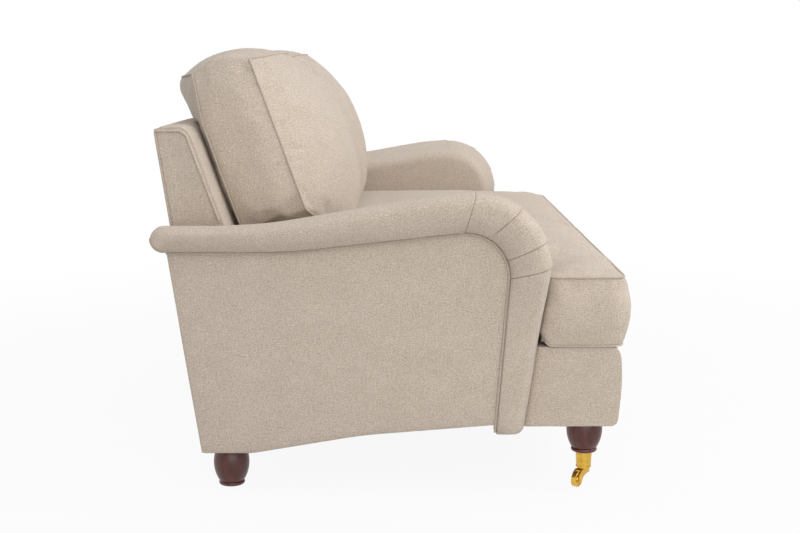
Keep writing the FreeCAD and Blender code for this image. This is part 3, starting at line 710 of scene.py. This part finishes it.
def arm_cover_mesh(side, seed):
    """The roll, its front band and the inner arm as one cover with four folded pleats."""
    ridge, welt = Line(rounded(RIDGE)), Line(rounded(WELT))
    ridge_marks = [ridge.nearest(a) for a, _ in KNOTS]
    welt_marks = [welt.nearest(b) for _, b in KNOTS]
    pleats = ridge_marks[3:7]
    marks, turn = arm_columns(ridge, pleats)
    top, foot = ridge.at(marks), welt.at(np.interp(marks, ridge_marks, welt_marks))
    span = np.linalg.norm(top - foot, axis=1)
    up = (top - foot) / span[:, None]
    whole = 1 - np.exp(-span / 14)
    height = np.clip((foot[:, 1] - BAND_TOP) / (ROLL_LOW - BAND_TOP), 0, 1)
    depth = (BAND_DEPTH + (ROLL_DEPTH - BAND_DEPTH) * height**2 * (3 - 2 * height)) * whole
    lip = np.minimum(LIP, 0.7 * depth)
    shoulder, drop = np.clip(0.3 * span, 0, 30), 40 * whole
    beside_back = marks > turn + 0.5
    # The inner edge's place and its run and fall are less where the arm passes beside the back
    inner_x = np.where(beside_back, BACK_SIDE_X, INNER_X)
    inner_run = np.where(beside_back, 12.0, 42.0)
    inner_fall = np.where(beside_back, 10.0, 32.0) * np.minimum(1, span / 50)

    rows, rise = [], []                     # each row's points, and their distance from the welt

    def row(distance, out):
        rise.append(distance)
        rows.append(np.column_stack([-out, foot + up * distance[:, None]]))

    row(0 * span - 5.0, 0 * span + PANEL_X - 5)
    row(0 * span + 0.5, 0 * span + PANEL_X - 4)
    for share in np.linspace(0, 1, RISE_ROWS) ** 1.3:
        out = lip + (depth - lip) * math.sin(share * math.pi / 2) ** 0.7
        row(GROOVE + (span - shoulder - GROOVE) * share, PANEL_X + out)
    for angle in np.linspace(0, math.pi / 2, SHOULDER_ROWS + 1)[1:]:
        run, over = quarter(angle, 2.1)
        row(span - shoulder * (1 - run), PANEL_X + depth - drop * (1 - over))
    outer_end = PANEL_X + depth - drop
    for share in np.linspace(0, 1, 13)[1:]:
        row(span - TOP_FALL * whole * share**1.2, outer_end + (inner_x + inner_run - outer_end) * share)
    for angle in np.linspace(0, math.pi / 2, 9)[1:]:
        run, over = quarter(angle)
        row(span - TOP_FALL * whole - inner_fall * (1 - over), inner_x + inner_run * (1 - run))
    last = rows[-1][:, 1:]
    start, end = ridge.nearest((-289, 300)), turn
    share = np.clip((marks - start) / (end - start), 0, 1)
    low = np.column_stack([-232 + (252 + 232) * share, np.full(len(marks), 296.0)])
    hidden = (marks < start) | beside_back
    low[hidden] = (last - up * TUCK)[hidden]
    for fraction in np.linspace(0, 1, 13)[1:]:
        pillow = 2.5 * math.sin(math.pi * fraction)
        rise.append(span * 0 + INSIDE)
        rows.append(np.column_stack([-(inner_x - pillow), last + (low - last) * fraction]))
    points, rise = np.array(rows), np.array(rise)

    normals = grid_normals(points)
    past = np.concatenate([[0], np.cumsum(np.linalg.norm(np.diff(points, axis=0), axis=2).mean(axis=1))])
    crest = 2 + RISE_ROWS + SHOULDER_ROWS - 1
    beyond = np.clip(past - past[crest], 0, None)[:, None]
    inside = np.clip(np.where(rise > INSIDE, rise, span) / span, 0, 1)
    fade = np.clip(1 - beyond / 75, 0, 1)
    fold = 0
    for mark, pleat_start in zip(pleats, PLEAT_STARTS):
        away = marks - mark
        soft_side = np.where(away >= 0, 1.9 * np.exp(-away.clip(0) / 16), -1.0 * np.exp(away.clip(None, 0) / 9))
        crease = -3.2 * np.exp(-(((away + 0.35) / 0.7) ** 2))
        begins = np.clip((inside - pleat_start) / 0.12, 0, 1)
        fold = fold + (soft_side * (0.35 + 0.65 * inside) + crease) * begins
    across = np.broadcast_to(past[:, None], rise.shape)
    free = np.clip(np.where(rise > INSIDE, rise, 30) / 12, 0, 1)
    soft = swells(points, 85, seed) * 0.9 + swells(points, 34, seed + 1) * 0.3
    run = np.stack([np.broadcast_to(marks, rise.shape), across * 0.15, across * 0], -1)
    gather = swells(run, 11, seed + 2) * 0.35 * np.exp(-np.clip(rise, 0, None) / 12) * (rise >= 0)
    points = points + normals * (fade * fold + soft * free + gather)[..., None]

    y_limit = seat_plane(points[..., 2]) + 3
    over = (points[..., 0] > -BACK_SIDE_X + 1) & ~beside_back[None, :]
    points[..., 1] = np.where(over, np.minimum(points[..., 1], y_limit), points[..., 1])
    weave = np.stack([np.broadcast_to(marks, rise.shape), across], -1)
    faces = turned(grid_quads(*rise.shape), side)
    return build_mesh("arm_cover", sided(points, side), faces, LINEN, weave), welt


def ring_panel(name, loop, centre, rings, side, seed):
    """A flat panel of rings, given as (share of the way out, X), from a centre to its outline."""
    count = len(loop)
    points, weave = [], []
    for share, x in [(0.0, rings[0][1]), *rings]:
        at = centre + (loop - centre) * share if share else centre[None]
        wave = plane_swells(at, 170, seed) * 0.8 * (1 - min(share, 1.0) ** 4)
        points.append(np.column_stack([-(x + wave), at]))
        weave.append(at)
    points, weave = np.concatenate(points), np.concatenate(weave)
    fan = [(0, 1 + i, 1 + (i + 1) % count) for i in range(count)]
    faces = [*fan, *(grid_quads(len(rings), count, closed=True) + 1).tolist()]
    a, b, c = (points[i] for i in faces[0])
    if (np.cross(b - a, c - a)[0] >= 0) != (side > 0):
        faces = [f[::-1] for f in faces]
    return build_mesh(name, sided(points, side), faces, LINEN, weave + seed * 31.0)


def arms():
    line = Line(rounded([*WELT[1:], (back_plane(BASE_LOW), BASE_LOW), *SWEEP[:2]], closed=True))
    loop = line.at(np.arange(0, line.length, 7.0))
    centre = np.array([110.0, 320.0])
    shares = (0.02, 0.15, 0.3, 0.45, 0.6, 0.74, 0.85, 0.92, 0.96, 0.985, 0.995, 1.0, 1.0, 1.0)
    depths = [4.0 * (1 - s**24) for s in shares]
    depths[-3:] = [-0.8, -3.5, -9.0]
    rings = [(s, PANEL_X + d) for s, d in zip(shares, depths)]
    for side_name, side in SIDES:
        seed = 11 if side < 0 else 23
        cover, seam = arm_cover_mesh(side, seed)
        piece("arm_upholstery_" + side_name, cover, "frame", "linen", "arm_cover_" + side_name)
        panel = ring_panel("outside_arm", loop, centre, rings, side, seed)
        piece("outside_arm_panel_" + side_name, panel, "frame", "linen", "outside_arm_" + side_name)
        at = seam.at(np.linspace(3, seam.length, 260))
        wave = plane_swells(at, 45, seed) * 0.5
        tangent = np.gradient(at, axis=0)
        tangent /= np.linalg.norm(tangent, axis=1, keepdims=True)
        at = at + np.column_stack([tangent[:, 1], -tangent[:, 0]]) * ARM_WELT_IN
        x = np.full(len(at), -(PANEL_X + ARM_WELT_OUT)) - wave
        path = sided(np.column_stack([x, at + wave[:, None] * 0.3]), side)
        add_welt("arm_welt_" + side_name, [(path, False)], "frame", ARM_WELT_R, "arm_piping_" + side_name)


arms()


# Boxed shapes


def box_surface(a, v, b):
    """Quads over the skin of a box of cells at shares a (across), v (front to rear) and b (up)."""
    shape = (len(a), len(v), len(b))
    i, j, k = np.meshgrid(*(np.arange(n) for n in shape), indexing="ij")
    skin = (i % (shape[0] - 1) == 0) | (j % (shape[1] - 1) == 0) | (k % (shape[2] - 1) == 0)
    number = np.full(shape, -1)
    number[skin] = np.arange(skin.sum())
    shares = np.column_stack([np.asarray(a)[i[skin]], np.asarray(v)[j[skin]], np.asarray(b)[k[skin]]])
    faces, sides = [], []

    def cover(sheet, label, over):
        quads = cell_corners(sheet).reshape(-1, 4)
        faces.append(quads[:, ::-1] if over else quads)
        sides.extend([label] * len(quads))

    cover(number[:, 0, :], "front", False)
    cover(number[:, -1, :], "rear", True)
    cover(number[:, :, -1], "top", False)
    cover(number[:, :, 0], "bottom", True)
    cover(number[-1, :, :], "inner", False)
    cover(number[0, :, :], "outer", True)
    return number, shares, np.concatenate(faces), np.array(sides)


PLANES = {"front": (0, 2), "rear": (0, 2), "top": (0, 1), "bottom": (0, 1), "inner": (1, 2), "outer": (1, 2)}


def corner_weave(points, faces, sides, offset):
    """Cloth coordinates of each face corner: the two axes that its side lies along."""
    axes = np.array([PLANES[s] for s in sides])
    corners = points[faces]
    u = np.take_along_axis(corners, axes[:, None, :1].repeat(4, 1), axis=2)
    v = np.take_along_axis(corners, axes[:, None, 1:].repeat(4, 1), axis=2)
    return np.concatenate([u, v], axis=2) + offset


def graded(length, step, edges=(0, 4, 10, 20)):
    """Shares from 0 to 1 with close lines near both ends and even steps between."""
    inner = np.linspace(edges[-1], length - edges[-1], max(2, round((length - 2 * edges[-1]) / step) + 1))
    marks = np.concatenate([edges[:-1], inner, length - np.array(edges[:-1])[::-1]])
    return marks / length


def padded_block(node, sizes, place, finish, seed, wave, step=26, edges=(0, 4, 10, 20)):
    """Padding for a node, a box of the given sizes that is bent into place, with soft edges."""
    _, at, faces, sides = box_surface(*(graded(size, step, edges) for size in sizes))
    points = place(*at.T)
    mesh = build_mesh(node, points, faces, finish, corner_weave(points, faces, sides, seed * 29.0))
    mesh = smoothed(node, mesh, 2)
    co, no = vertices(mesh) / MM, vertices(mesh, "normal")
    co += no * (swells(co, 120, seed) * wave + swells(co, 45, seed + 1) * wave * 0.3)[:, None]
    move_points(mesh, co)
    piece(node + "_padding", mesh, "frame", "linen", node)


def edge_round(share):
    """How far a quarter round has turned in, 0 to 1, at a share of its run."""
    share = np.clip(share, 0, 1)
    return 1 - np.sqrt(1 - share**2)


# Back

BACK_X = 745.0
BACK_LOW, BACK_TOP = 286.0, 746.0
BACK_BOARD = 5.0      # thickness of the outside back
BACK_WELT_R = 2.9
WELT_INSET = 8.5      # from the padding's edge to the side welt


def rear_turn(z):
    """How far the rear top edge is rounded in at a height."""
    return 11 * edge_round((z - (BACK_TOP - 18)) / 18)


def back():
    def padding(a, v, b):
        x = -BACK_X + 2 * BACK_X * a
        z = BACK_LOW + (BACK_TOP - BACK_LOW) * b
        front = seat_plane(z) + 16 * edge_round((z - (BACK_TOP - 34)) / 34)
        rear = back_plane(z) - BACK_BOARD - rear_turn(z)
        swell = 3.0 * np.sin(math.pi * a) ** 0.5 * np.sin(math.pi * v)
        return np.column_stack([x, front + (rear - front) * v, z + swell * (b > 0.999)])

    padded_block("inside_back", (2 * BACK_X, 75, BACK_TOP - BACK_LOW), padding, LINEN, 31, 0.9)

    # The outside back narrows at the height of the arms' welts
    low, waist, high = BASE_LOW, 503.0, BACK_TOP - 5

    def panel(a, v, b):
        z = low + (high - low) * b
        x = (a * 2 - 1) * np.where(z < waist, 823.4, 744.0)
        swell = 1.8 * v * (1 - np.abs(a * 2 - 1) ** 6) * (1 - np.abs(b * 2 - 1) ** 6)
        y = back_plane(z) - BACK_BOARD - rear_turn(z) + 5.6 * v + swell
        return np.column_stack([x, y, z])

    marks = np.concatenate([
        start + graded(end - start, 22, (0, 3, 8)) * (end - start)
        for start, end in ((low, waist - 0.5), (waist + 0.5, high))
    ])
    across = graded(1647, 24, (0, 3, 8, 18))
    _, at, faces, sides = box_surface(across, np.array([0, 0.5, 1.0]), (marks - low) / (high - low))
    points = panel(*at.T)
    points[:, 1] += swells(points, 190, 37) * (at[:, 1] > 0.9)
    mesh = build_mesh("outside_back", points, faces, LINEN, corner_weave(points, faces, sides, 77.0))
    piece("outside_back_panel", mesh, "frame", "linen", "outside_back")

    arm_top, top = 556.0, BACK_TOP - WELT_INSET
    line = Line(rounded([
        (seat_plane(arm_top) + WELT_INSET, arm_top), (seat_plane(top) + WELT_INSET + 2, top, 22),
        (back_plane(top) - 6, top),
    ]))
    at = line.at(np.linspace(0, line.length, 120))
    for side_name, side in SIDES:
        path = sided(beside(-BACK_X - 1.2, at), side)
        add_welt("back_welt_" + side_name, [(path, False)], "frame", BACK_WELT_R, "back_piping_" + side_name)


back()


# Base


def arm_front(z):
    return -263 - 75 * (z - 132) / 490


BORDER_LOW, BORDER_TOP = 139.5, 306.0
BORDER_FRONT = (       # (height, Y) down the front of the border
    (139.5, -459), (150, -462), (200, -466), (234, -467), (250, -467), (285, -465), (308, -462),
)
BORDER_HALF = 800.0
DECK_LOW, DECK_DEEP, DECK_HALF, DECK_FRONT = 284.5, 23.0, 655.0, -268.0
DUST_HALF, DUST_FRONT, DUST_REAR = 788.0, -440.0, 365.0
STAPLE_INSET = 6.0     # from the dust cover's edge to the staples


def base():
    heights, fronts = np.array(BORDER_FRONT, float).T

    def border(a, v, b):
        z = BORDER_LOW + (BORDER_TOP - BORDER_LOW) * b
        front = np.interp(z, heights, fronts) + 3 + 16 * edge_round((z - (BORDER_TOP - 22)) / 22)
        front += 9 * edge_round((BORDER_LOW + 13.5 - z) / 13.5)
        rear = arm_front(z) + 3
        groove = 9 * np.clip((v - 0.92) / 0.08, 0, 1) ** 2
        swell = 2.5 * (1 - v) * np.sin(math.pi * b) * np.sin(math.pi * a) ** 0.4
        return np.column_stack([(2 * a - 1) * (BORDER_HALF - groove), front + (rear - front) * v - swell, z])

    padded_block("front_border", (2 * BORDER_HALF, 180, 166), border, LINEN, 41, 0.8, step=24)

    def deck(a, v, b):
        z = DECK_LOW + DECK_DEEP * b
        rear = seat_plane(z) - 1
        x = -DECK_HALF + 2 * DECK_HALF * a
        return np.column_stack([x, DECK_FRONT + (rear - DECK_FRONT) * v, z])

    sizes = (2 * DECK_HALF, 520, DECK_DEEP)
    padded_block("seat_deck", sizes, deck, DECK_LINEN, 43, 0.25, step=40, edges=(0, 5, 11))

    run = Line(rounded([(DUST_FRONT, 151.5), *reversed(SWEEP), (DUST_REAR, BASE_LOW)]))
    along = np.linspace(0, run.length, 70)
    at = run.at(along)
    x, y = np.meshgrid(np.linspace(-DUST_HALF, DUST_HALF, 90), at[:, 0])
    z = np.broadcast_to(at[:, 1][:, None], x.shape)
    sag = swells(np.stack([x, y, x * 0], -1), 160, 47) * 1.2 - 1.5
    inside = np.minimum(DUST_HALF - np.abs(x), np.minimum(y - DUST_FRONT, DUST_REAR - y))
    points = np.stack([x, y, z - 0.8 + sag * np.clip(inside / 40, 0, 1)], -1)
    weave = np.stack([x, np.broadcast_to(along[:, None], x.shape)], -1)
    mesh = build_mesh("dust_cover", points, grid_quads(*x.shape), DUST_CLOTH, weave)
    mesh = finished("dust_cover", mesh, [("SOLIDIFY", {"thickness": 0.7 * MM, "offset": 0})])
    piece("dust_cover_cloth", mesh, "frame", "dust_cloth", "dust_cover")

    side_run = run.at(np.linspace(STAPLE_INSET, run.length - STAPLE_INSET, 60)) - np.array([0, 1.2])
    paths = []
    for x_edge in (STAPLE_INSET - DUST_HALF, DUST_HALF - STAPLE_INSET):
        paths.append((beside(x_edge, side_run), False))
    for y_edge, height in ((-434.0, 151), (358.0, BASE_LOW)):
        z_edge = run.at(run.nearest((y_edge, height)))[1] - 1.2
        paths.append((np.array([[x, y_edge, z_edge] for x in np.linspace(-776, 776, 40)]), False))
    staples = along_paths("dust_cover_staples", STAPLE_TREE, paths, STEEL, radius=0.6, spacing=34, width=11)
    piece("dust_cover_staples", staples, "frame", "steel")


base()


# Cushions

FILL_FRAMES = 20
SEAT_FILLING = (3.0, 0.02, 14)      # pressure, share by which the cloth gives, most that it may swell
BACK_FILLING = (3.5, 0.03, 22)
CUSHION_WELT_R = 1.9


def kd_tree(points):
    tree = KDTree(len(points))
    for i, at in enumerate(points):
        tree.insert(at, i)
    tree.balance()
    return tree


def blown_up(name, mesh, seam, pressure, grow, cap):
    """The cover filled: its seams are held, and each panel swells under pressure by no more than the cap."""
    start = vertices(mesh)
    work = add(name + "_work", mesh)
    group = work.vertex_groups.new(name="seam")
    group.add([int(i) for i in seam], 1.0, "REPLACE")
    cloth = work.modifiers.new("filling", "CLOTH")
    s = cloth.settings
    s.quality, s.mass, s.air_damping = 6, 0.25, 2.0
    s.tension_stiffness = s.compression_stiffness = 18
    s.shear_stiffness, s.bending_stiffness = 6, 0.4
    s.tension_damping = s.compression_damping = 8
    s.use_pressure, s.uniform_pressure_force = True, pressure
    s.shrink_min = -grow
    s.vertex_group_mass = "seam"
    s.effector_weights.gravity = 0
    cloth.collision_settings.use_collision = False
    cloth.point_cache.frame_start, cloth.point_cache.frame_end = 1, FILL_FRAMES
    for step in range(1, FILL_FRAMES + 1):
        bpy.context.scene.frame_set(step)
    filled = evaluated_mesh(work)
    bpy.context.scene.frame_set(1)
    moved = vertices(filled) - start
    bpy.data.meshes.remove(filled)
    work.modifiers.clear()
    bpy.data.objects.remove(work)
    far = np.linalg.norm(moved, axis=1, keepdims=True)
    moved *= np.minimum(1, cap * MM / np.maximum(far, 1e-9))
    start = start + moved
    return start / MM


def filled_cover(name, points, faces, weave, seam, seed, limit, filling):
    """A stuffed cover of finer mesh, with its seams creased, and its coarse points."""
    mesh = build_mesh(name, points, faces, LINEN, weave)
    points = limit(blown_up(name, mesh, seam, *filling))
    mesh = build_mesh(name, points, faces, LINEN, weave)
    held = np.zeros(len(mesh.vertices), bool)
    held[np.asarray(seam, int)] = True
    ends = np.empty(len(mesh.edges) * 2, np.int32)
    mesh.edges.foreach_get("vertices", ends)
    crease = mesh.attributes.new("crease_edge", "FLOAT", "EDGE")
    crease.data.foreach_set("value", held[ends.reshape(-1, 2)].all(axis=1).astype(np.float32))
    return smoothed(name, mesh, 1), points


def sewn(name, points, faces, weave, loops, seed, limit, filling):
    """A stuffed cover, gathered at its seams and pressed flat where it rests, and the paths of its welts."""
    mesh, points = filled_cover(name, points, faces, weave, np.concatenate(loops), seed, limit, filling)
    co, no = vertices(mesh) / MM, vertices(mesh, "normal")
    count = len(co)
    lines, marks = [], []
    for loop in loops:
        at = points[loop]
        at = (np.roll(at, 1, axis=0) + 6 * at + np.roll(at, -1, axis=0)) / 8
        lines.append(at)
        marks.append(Line(at).marks)
    where = np.concatenate(marks)
    tree = kd_tree(np.concatenate(lines))
    away, along = np.empty(count), np.empty(count)
    for i, at in enumerate(co):
        _, index, away[i] = tree.find(at)
        along[i] = where[index]
    flow = np.stack([along, away * 0.25, co[:, 2] * 0.02], -1)
    gather = (swells(flow, 12, seed) - 0.5) * np.exp(-away / 11) * (1 - np.exp(-away / 2.5))
    soft = (swells(co, 75, seed + 1) * 1.5 + swells(co, 32, seed + 2) * 0.5) * (1 - np.exp(-away / 25))
    co = limit(co + no * (gather + soft)[:, None])
    move_points(mesh, co)

    near = kd_tree(co)
    welts = []
    for line in lines:
        out = np.array([no[near.find(at)[1]] for at in line])
        out = (np.roll(out, 1, axis=0) + out + np.roll(out, -1, axis=0)) / 3
        welts.append((limit(line + out * 0.9), True))
    return mesh, welts


def cushion(kind, side_name, side, points, faces, weave, loops, seed, limit, filling):
    """A cushion of the left side or its mirror image, with its welts; gives its cover."""
    mirror = np.array([-1.0, 1, 1]) if side > 0 else np.ones(3)

    def limited(p):
        return limit(p * mirror) * mirror

    name = kind + "_" + side_name
    faces, weave = turned(faces, side), turned(weave, side)
    mesh, welts = sewn(name, points * mirror, faces, weave, loops, seed, limited, filling)
    cover = piece(name + "_cover", mesh, name, "linen", name)
    add_welt(kind + "_welt_" + side_name, welts, name, CUSHION_WELT_R)
    return cover


def plan_rounding(x, y, corners):
    """Plan points with each square corner, given as (x, y, radius, x side, y side), turned round."""
    x, y = x.copy(), y.copy()
    for cx, cy, radius, sx, sy in corners:
        p, q = (x - cx) * sx + radius, (y - cy) * sy + radius
        inside = (p > 0) & (q > 0) & (p <= radius + 1e-6) & (q <= radius + 1e-6)
        round_p = p * np.sqrt(np.clip(1 - q**2 / (2 * radius**2), 0, 1))
        round_q = q * np.sqrt(np.clip(1 - p**2 / (2 * radius**2), 0, 1))
        x = np.where(inside, cx + (round_p - radius) * sx, x)
        y = np.where(inside, cy + (round_q - radius) * sy, y)
    return x, y


def stretched_film(mask, steps=900):
    """Height, 0 to 1, of a film blown up over the marked nodes of a grid and held round them."""
    height = np.zeros(mask.shape)
    for _ in range(steps):
        around = height[:-2, 1:-1] + height[2:, 1:-1] + height[1:-1, :-2] + height[1:-1, 2:]
        height = np.where(mask, np.pad(around / 4 + 1, 1), 0)
    return height / height.max()


SEAT_LOW, SEAT_SEAM = 308.4, 447.5
EAR_X, BODY_X, MID_X = -803.0, -655.8, -1.2
SEAT_FRONT, EAR_REAR, SEAT_REAR = -466.0, -302.0, 278.0
CELL = 10.0            # spacing of the seat cushion's grid
CROWN = 36.0           # how far the seat's middle stands above its seam
FRONT_SWELL, EAR_SWELL = 13.0, 6.0
BOXING_ROWS = 14


def spaced(*ends):
    """Places from end to end, about a cell apart, with one at each end."""
    runs = [np.linspace(a, b, round((b - a) / CELL) + 1) for a, b in zip(ends, ends[1:])]
    return np.concatenate([runs[0], *(run[1:] for run in runs[1:])]), len(runs[0]) - 1


def seat_cushion(side_name, side, seed):
    xs, ear_count = spaced(EAR_X, BODY_X, MID_X)
    ys, near_count = spaced(SEAT_FRONT, EAR_REAR, SEAT_REAR)
    nx, ny = len(xs), len(ys)
    i, j = np.meshgrid(np.arange(nx), np.arange(ny), indexing="ij")
    used = (i >= ear_count) | (j <= near_count)
    in_body = (i > ear_count) & (i < nx - 1) & (j > 0) & (j < ny - 1)
    film = stretched_film(in_body | ((i > 0) & (i <= ear_count) & (j > 0) & (j < near_count)))
    plan = ys[j]

    def level(w):
        """Plan points at the share w of the boxing's height."""
        ear_y, back_y = -293 - 18 * w, 256 + 41 * w
        y = np.interp(plan, (SEAT_FRONT, EAR_REAR, SEAT_REAR), (SEAT_FRONT, ear_y, back_y))
        corners = [
            (EAR_X, SEAT_FRONT, 26, -1, -1), (MID_X, SEAT_FRONT, 15, 1, -1), (EAR_X, ear_y, 18, -1, 1),
            (BODY_X, back_y, 30, -1, 1), (MID_X, back_y, 22, 1, 1),
        ]
        return plan_rounding(xs[i] + 0 * y, y, corners)

    count = int(used.sum())
    number = np.full((2, nx, ny), -1)
    number[0][used] = np.arange(count)
    number[1][used] = np.arange(count) + count
    low_x, low_y = level(0.0)
    bottom = np.stack([low_x, low_y, np.full_like(low_x, SEAT_LOW)], -1)
    top = np.stack([*level(1.0), SEAT_SEAM + CROWN * film**0.6], -1)
    points = [bottom[used], top[used]]
    cells = used[:-1, :-1] & used[1:, :-1] & used[1:, 1:] & used[:-1, 1:]
    quads, weave = [], []
    for layer, sheet in ((0, bottom), (1, top)):
        q, w = cell_corners(number[layer])[cells], cell_corners(sheet[..., :2])[cells]
        quads.append(q if layer else q[:, ::-1])
        weave.append(w if layer else w[:, ::-1])

    e, m = ear_count, near_count
    ring = [(k, 0) for k in range(nx - 1)] + [(nx - 1, k) for k in range(ny - 1)]
    ring += [(k, ny - 1) for k in range(nx - 1, e, -1)] + [(e, k) for k in range(ny - 1, m, -1)]
    ring += [(k, m) for k in range(e, 0, -1)] + [(0, k) for k in range(m, 0, -1)]
    ring_i, ring_j = np.array(ring).T
    ring_low, ring_top = bottom[ring_i, ring_j], top[ring_i, ring_j]
    swell = np.zeros(len(ring))
    swell[: nx - 1] = FRONT_SWELL
    swell[2 * (nx - 1) + (ny - 1) - e + (ny - 1 - m):] = EAR_SWELL
    for _ in range(6):
        swell = (np.roll(swell, 1) + 2 * swell + np.roll(swell, -1)) / 4
    tangent = np.roll(ring_low, -1, axis=0) - np.roll(ring_low, 1, axis=0)
    outward = np.stack([tangent[:, 1], -tangent[:, 0]], -1)
    outward /= np.linalg.norm(outward, axis=1, keepdims=True)
    sheets = [number[0][ring_i, ring_j]]
    for r in range(1, BOXING_ROWS):
        w = r / BOXING_ROWS
        at = ring_low * (1 - w) + ring_top * w
        at[:, :2] += outward * (swell * math.sin(math.pi * w) ** 0.75)[:, None]
        points.append(at)
        sheets.append(np.arange(len(ring)) + 2 * count + (r - 1) * len(ring))
    sheets.append(number[1][ring_i, ring_j])
    marks = Line(ring_low).marks
    marks = np.append(marks, marks[-1] + CELL)
    for r in range(BOXING_ROWS):
        a, b = sheets[r], sheets[r + 1]
        quads.append(np.stack([a, np.roll(a, -1), np.roll(b, -1), b], -1))
        z0, z1 = SEAT_LOW + 139 * r / BOXING_ROWS, SEAT_LOW + 139 * (r + 1) / BOXING_ROWS
        ring_corners = ((marks[:-1], z0), (marks[1:], z0), (marks[1:], z1), (marks[:-1], z1))
        weave.append(np.stack([np.column_stack([u, np.full(len(ring), z)]) for u, z in ring_corners], 1))
    points = np.concatenate(points)
    points += (swells(points, 60, seed) * 0.8)[:, None] * np.array([0.5, 0.5, 0])

    def limit(p):
        """Flat on the deck, and pressed against the arm, the back and the other cushion."""
        p = p.copy()
        p[:, 2] = np.maximum(p[:, 2], SEAT_LOW)
        p[:, 0] = np.minimum(p[:, 0], -0.7)
        p[:, 0] = np.where(p[:, 1] > -285, np.maximum(p[:, 0], -656.4), p[:, 0])
        p[:, 1] = np.minimum(p[:, 1], seat_plane(p[:, 2]) - 0.5)
        in_ear = p[:, 0] < -657
        p[:, 1] = np.where(in_ear, np.minimum(p[:, 1], arm_front(p[:, 2]) - 1.5), p[:, 1])
        deep, high = 26.0, 34.0                           # rounding of the ear's low rear edge
        b = np.clip(1 - (arm_front(SEAT_LOW) - 3 - p[:, 1]) / deep, 0, 1)
        d = np.clip(1 - (p[:, 2] - SEAT_LOW) / high, 0, 1)
        corner = (p[:, 0] < -660) & (b > 0) & (d > 0)
        p[:, 1] -= np.where(corner, deep * b * (1 - np.sqrt(1 - d**2 / 2)), 0)
        p[:, 2] += np.where(corner, high * d * (1 - np.sqrt(1 - b**2 / 2)), 0)
        return p

    quads, weave = np.concatenate(quads), np.concatenate(weave) + seed * 53.0
    loops = [sheets[0], sheets[-1]]
    cover = cushion("seat_cushion", side_name, side, points, quads, weave, loops, seed, limit, SEAT_FILLING)


# Corners of the back cushion's section in (y, z): low, middle and top rear, then top and low front
SIDE_SECTION = np.array([(318.7, 522), (397.1, 746), (418, 850), (299, 880), (186, 566)], float)
MIDDLE_SECTION = np.array([(318.2, 480), (413.1, 751), (474, 838), (255, 892), (104, 486)], float)
BACK_CUSHION_X = (-638.0, -1.2)


KNEE = 0.7             # share of the way up the rear at which it bends over the back
OVER_BACK, OVER_BACK_MORE = 432.0, 47.0      # its furthest Y there, and how much more over the middle


def back_cushion(side_name, side, seed):
    x0, x1 = BACK_CUSHION_X
    number, at, faces, sides = box_surface(np.linspace(0, 1, 66), np.linspace(0, 1, 13), np.linspace(0, 1, 42))
    a, v, b = at.T

    def inward(x):
        """0 at the cushion's sides and 1 over its middle."""
        return np.sin(math.pi / 2 * np.clip(np.minimum(x - x0, x1 - x) / 250, 0, 1))

    x = x0 + (x1 - x0) * a
    share = inward(x)
    section = SIDE_SECTION[None] + (MIDDLE_SECTION - SIDE_SECTION)[None] * share[:, None, None]
    low_rear, mid_rear, top_rear, top_front, low_front = (section[:, k] for k in range(5))
    front = low_front + (top_front - low_front) * b[:, None]
    chord = (top_front - low_front) / np.linalg.norm(top_front - low_front, axis=1, keepdims=True)
    ahead = np.stack([-chord[:, 1], chord[:, 0]], -1)
    bow = 60 * share * np.sin(math.pi * b) ** 0.8 * (1 - v)
    rear = np.where(
        (b < KNEE)[:, None],
        low_rear + (mid_rear - low_rear) * (b / KNEE)[:, None],
        mid_rear + (top_rear - mid_rear) * ((b - KNEE) / (1 - KNEE))[:, None],
    )
    section_at = front * (1 - v[:, None]) + rear * v[:, None] + ahead * bow[:, None]
    rise = (14 + 10 * share) * np.sin(math.pi * v) * (b > 0.999)
    lean = (top_rear - top_front) / np.linalg.norm(top_rear - top_front, axis=1, keepdims=True)
    section_at += np.stack([-lean[:, 1], lean[:, 0]], -1) * rise[:, None]
    bulge = 6 * np.sin(math.pi * v) * np.sin(math.pi * b) ** 0.6
    x = x - bulge * (a < 0.001) - 12 * (v * (1 - a) ** 6) * np.sin(math.pi * np.clip(b, 0, 1)) ** 0.5
    points = np.column_stack([x, section_at])
    points += (swells(points, 70, seed) * 1.2)[:, None] * np.array([0.3, 0.7, 0.7])
    loops = []
    for n in (number[:, 0, :], number[:, -1, :]):
        loops.append(np.concatenate([n[:-1, 0], n[-1, :-1], n[:0:-1, -1], n[0, :0:-1]]))

    def limit(p):
        """Leaning on the back, and pressed against the other cushion."""
        p = p.copy()
        p[:, 0] = np.clip(p[:, 0], -654.0, -0.7)
        on_back = p[:, 2] < BACK_TOP + 2
        over_back = OVER_BACK + OVER_BACK_MORE * inward(p[:, 0])
        p[:, 1] = np.minimum(p[:, 1], np.where(on_back, seat_plane(p[:, 2]) - 1.0, over_back))
        return p

    weave = corner_weave(points, faces, sides, seed * 61.0)
    cover = cushion("back_cushion", side_name, side, points, faces, weave, loops, seed, limit, BACK_FILLING)


for side_name, side in SIDES:
    seat_cushion(side_name, side, 5 if side < 0 else 7)
    back_cushion(side_name, side, 13 if side < 0 else 17)


# Finishes of the rigid parts

NODE_FINISHES = (
    ("front_leg", LEG_WOOD), ("rear_foot", LEG_WOOD), ("caster", BRASS), ("seat_springs", STEEL),
    ("spring_clips", STEEL), ("hanger_bolts", STEEL), ("tee_nuts", STEEL), ("back_webbing", WEBBING),
    ("seat_cushion_core", FOAM), ("back_cushion_core", FOAM), ("arm_front_post", POST_WOOD),
    ("arm_rear_post", POST_WOOD), ("back_post", POST_WOOD), ("back_centre_post", POST_WOOD),
)
for name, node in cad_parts.items():
    finish = next((f for start, f in NODE_FINISHES if name.startswith(start)), FRAME_WOOD)
    for slot in node.material_slots:
        slot.material = finish
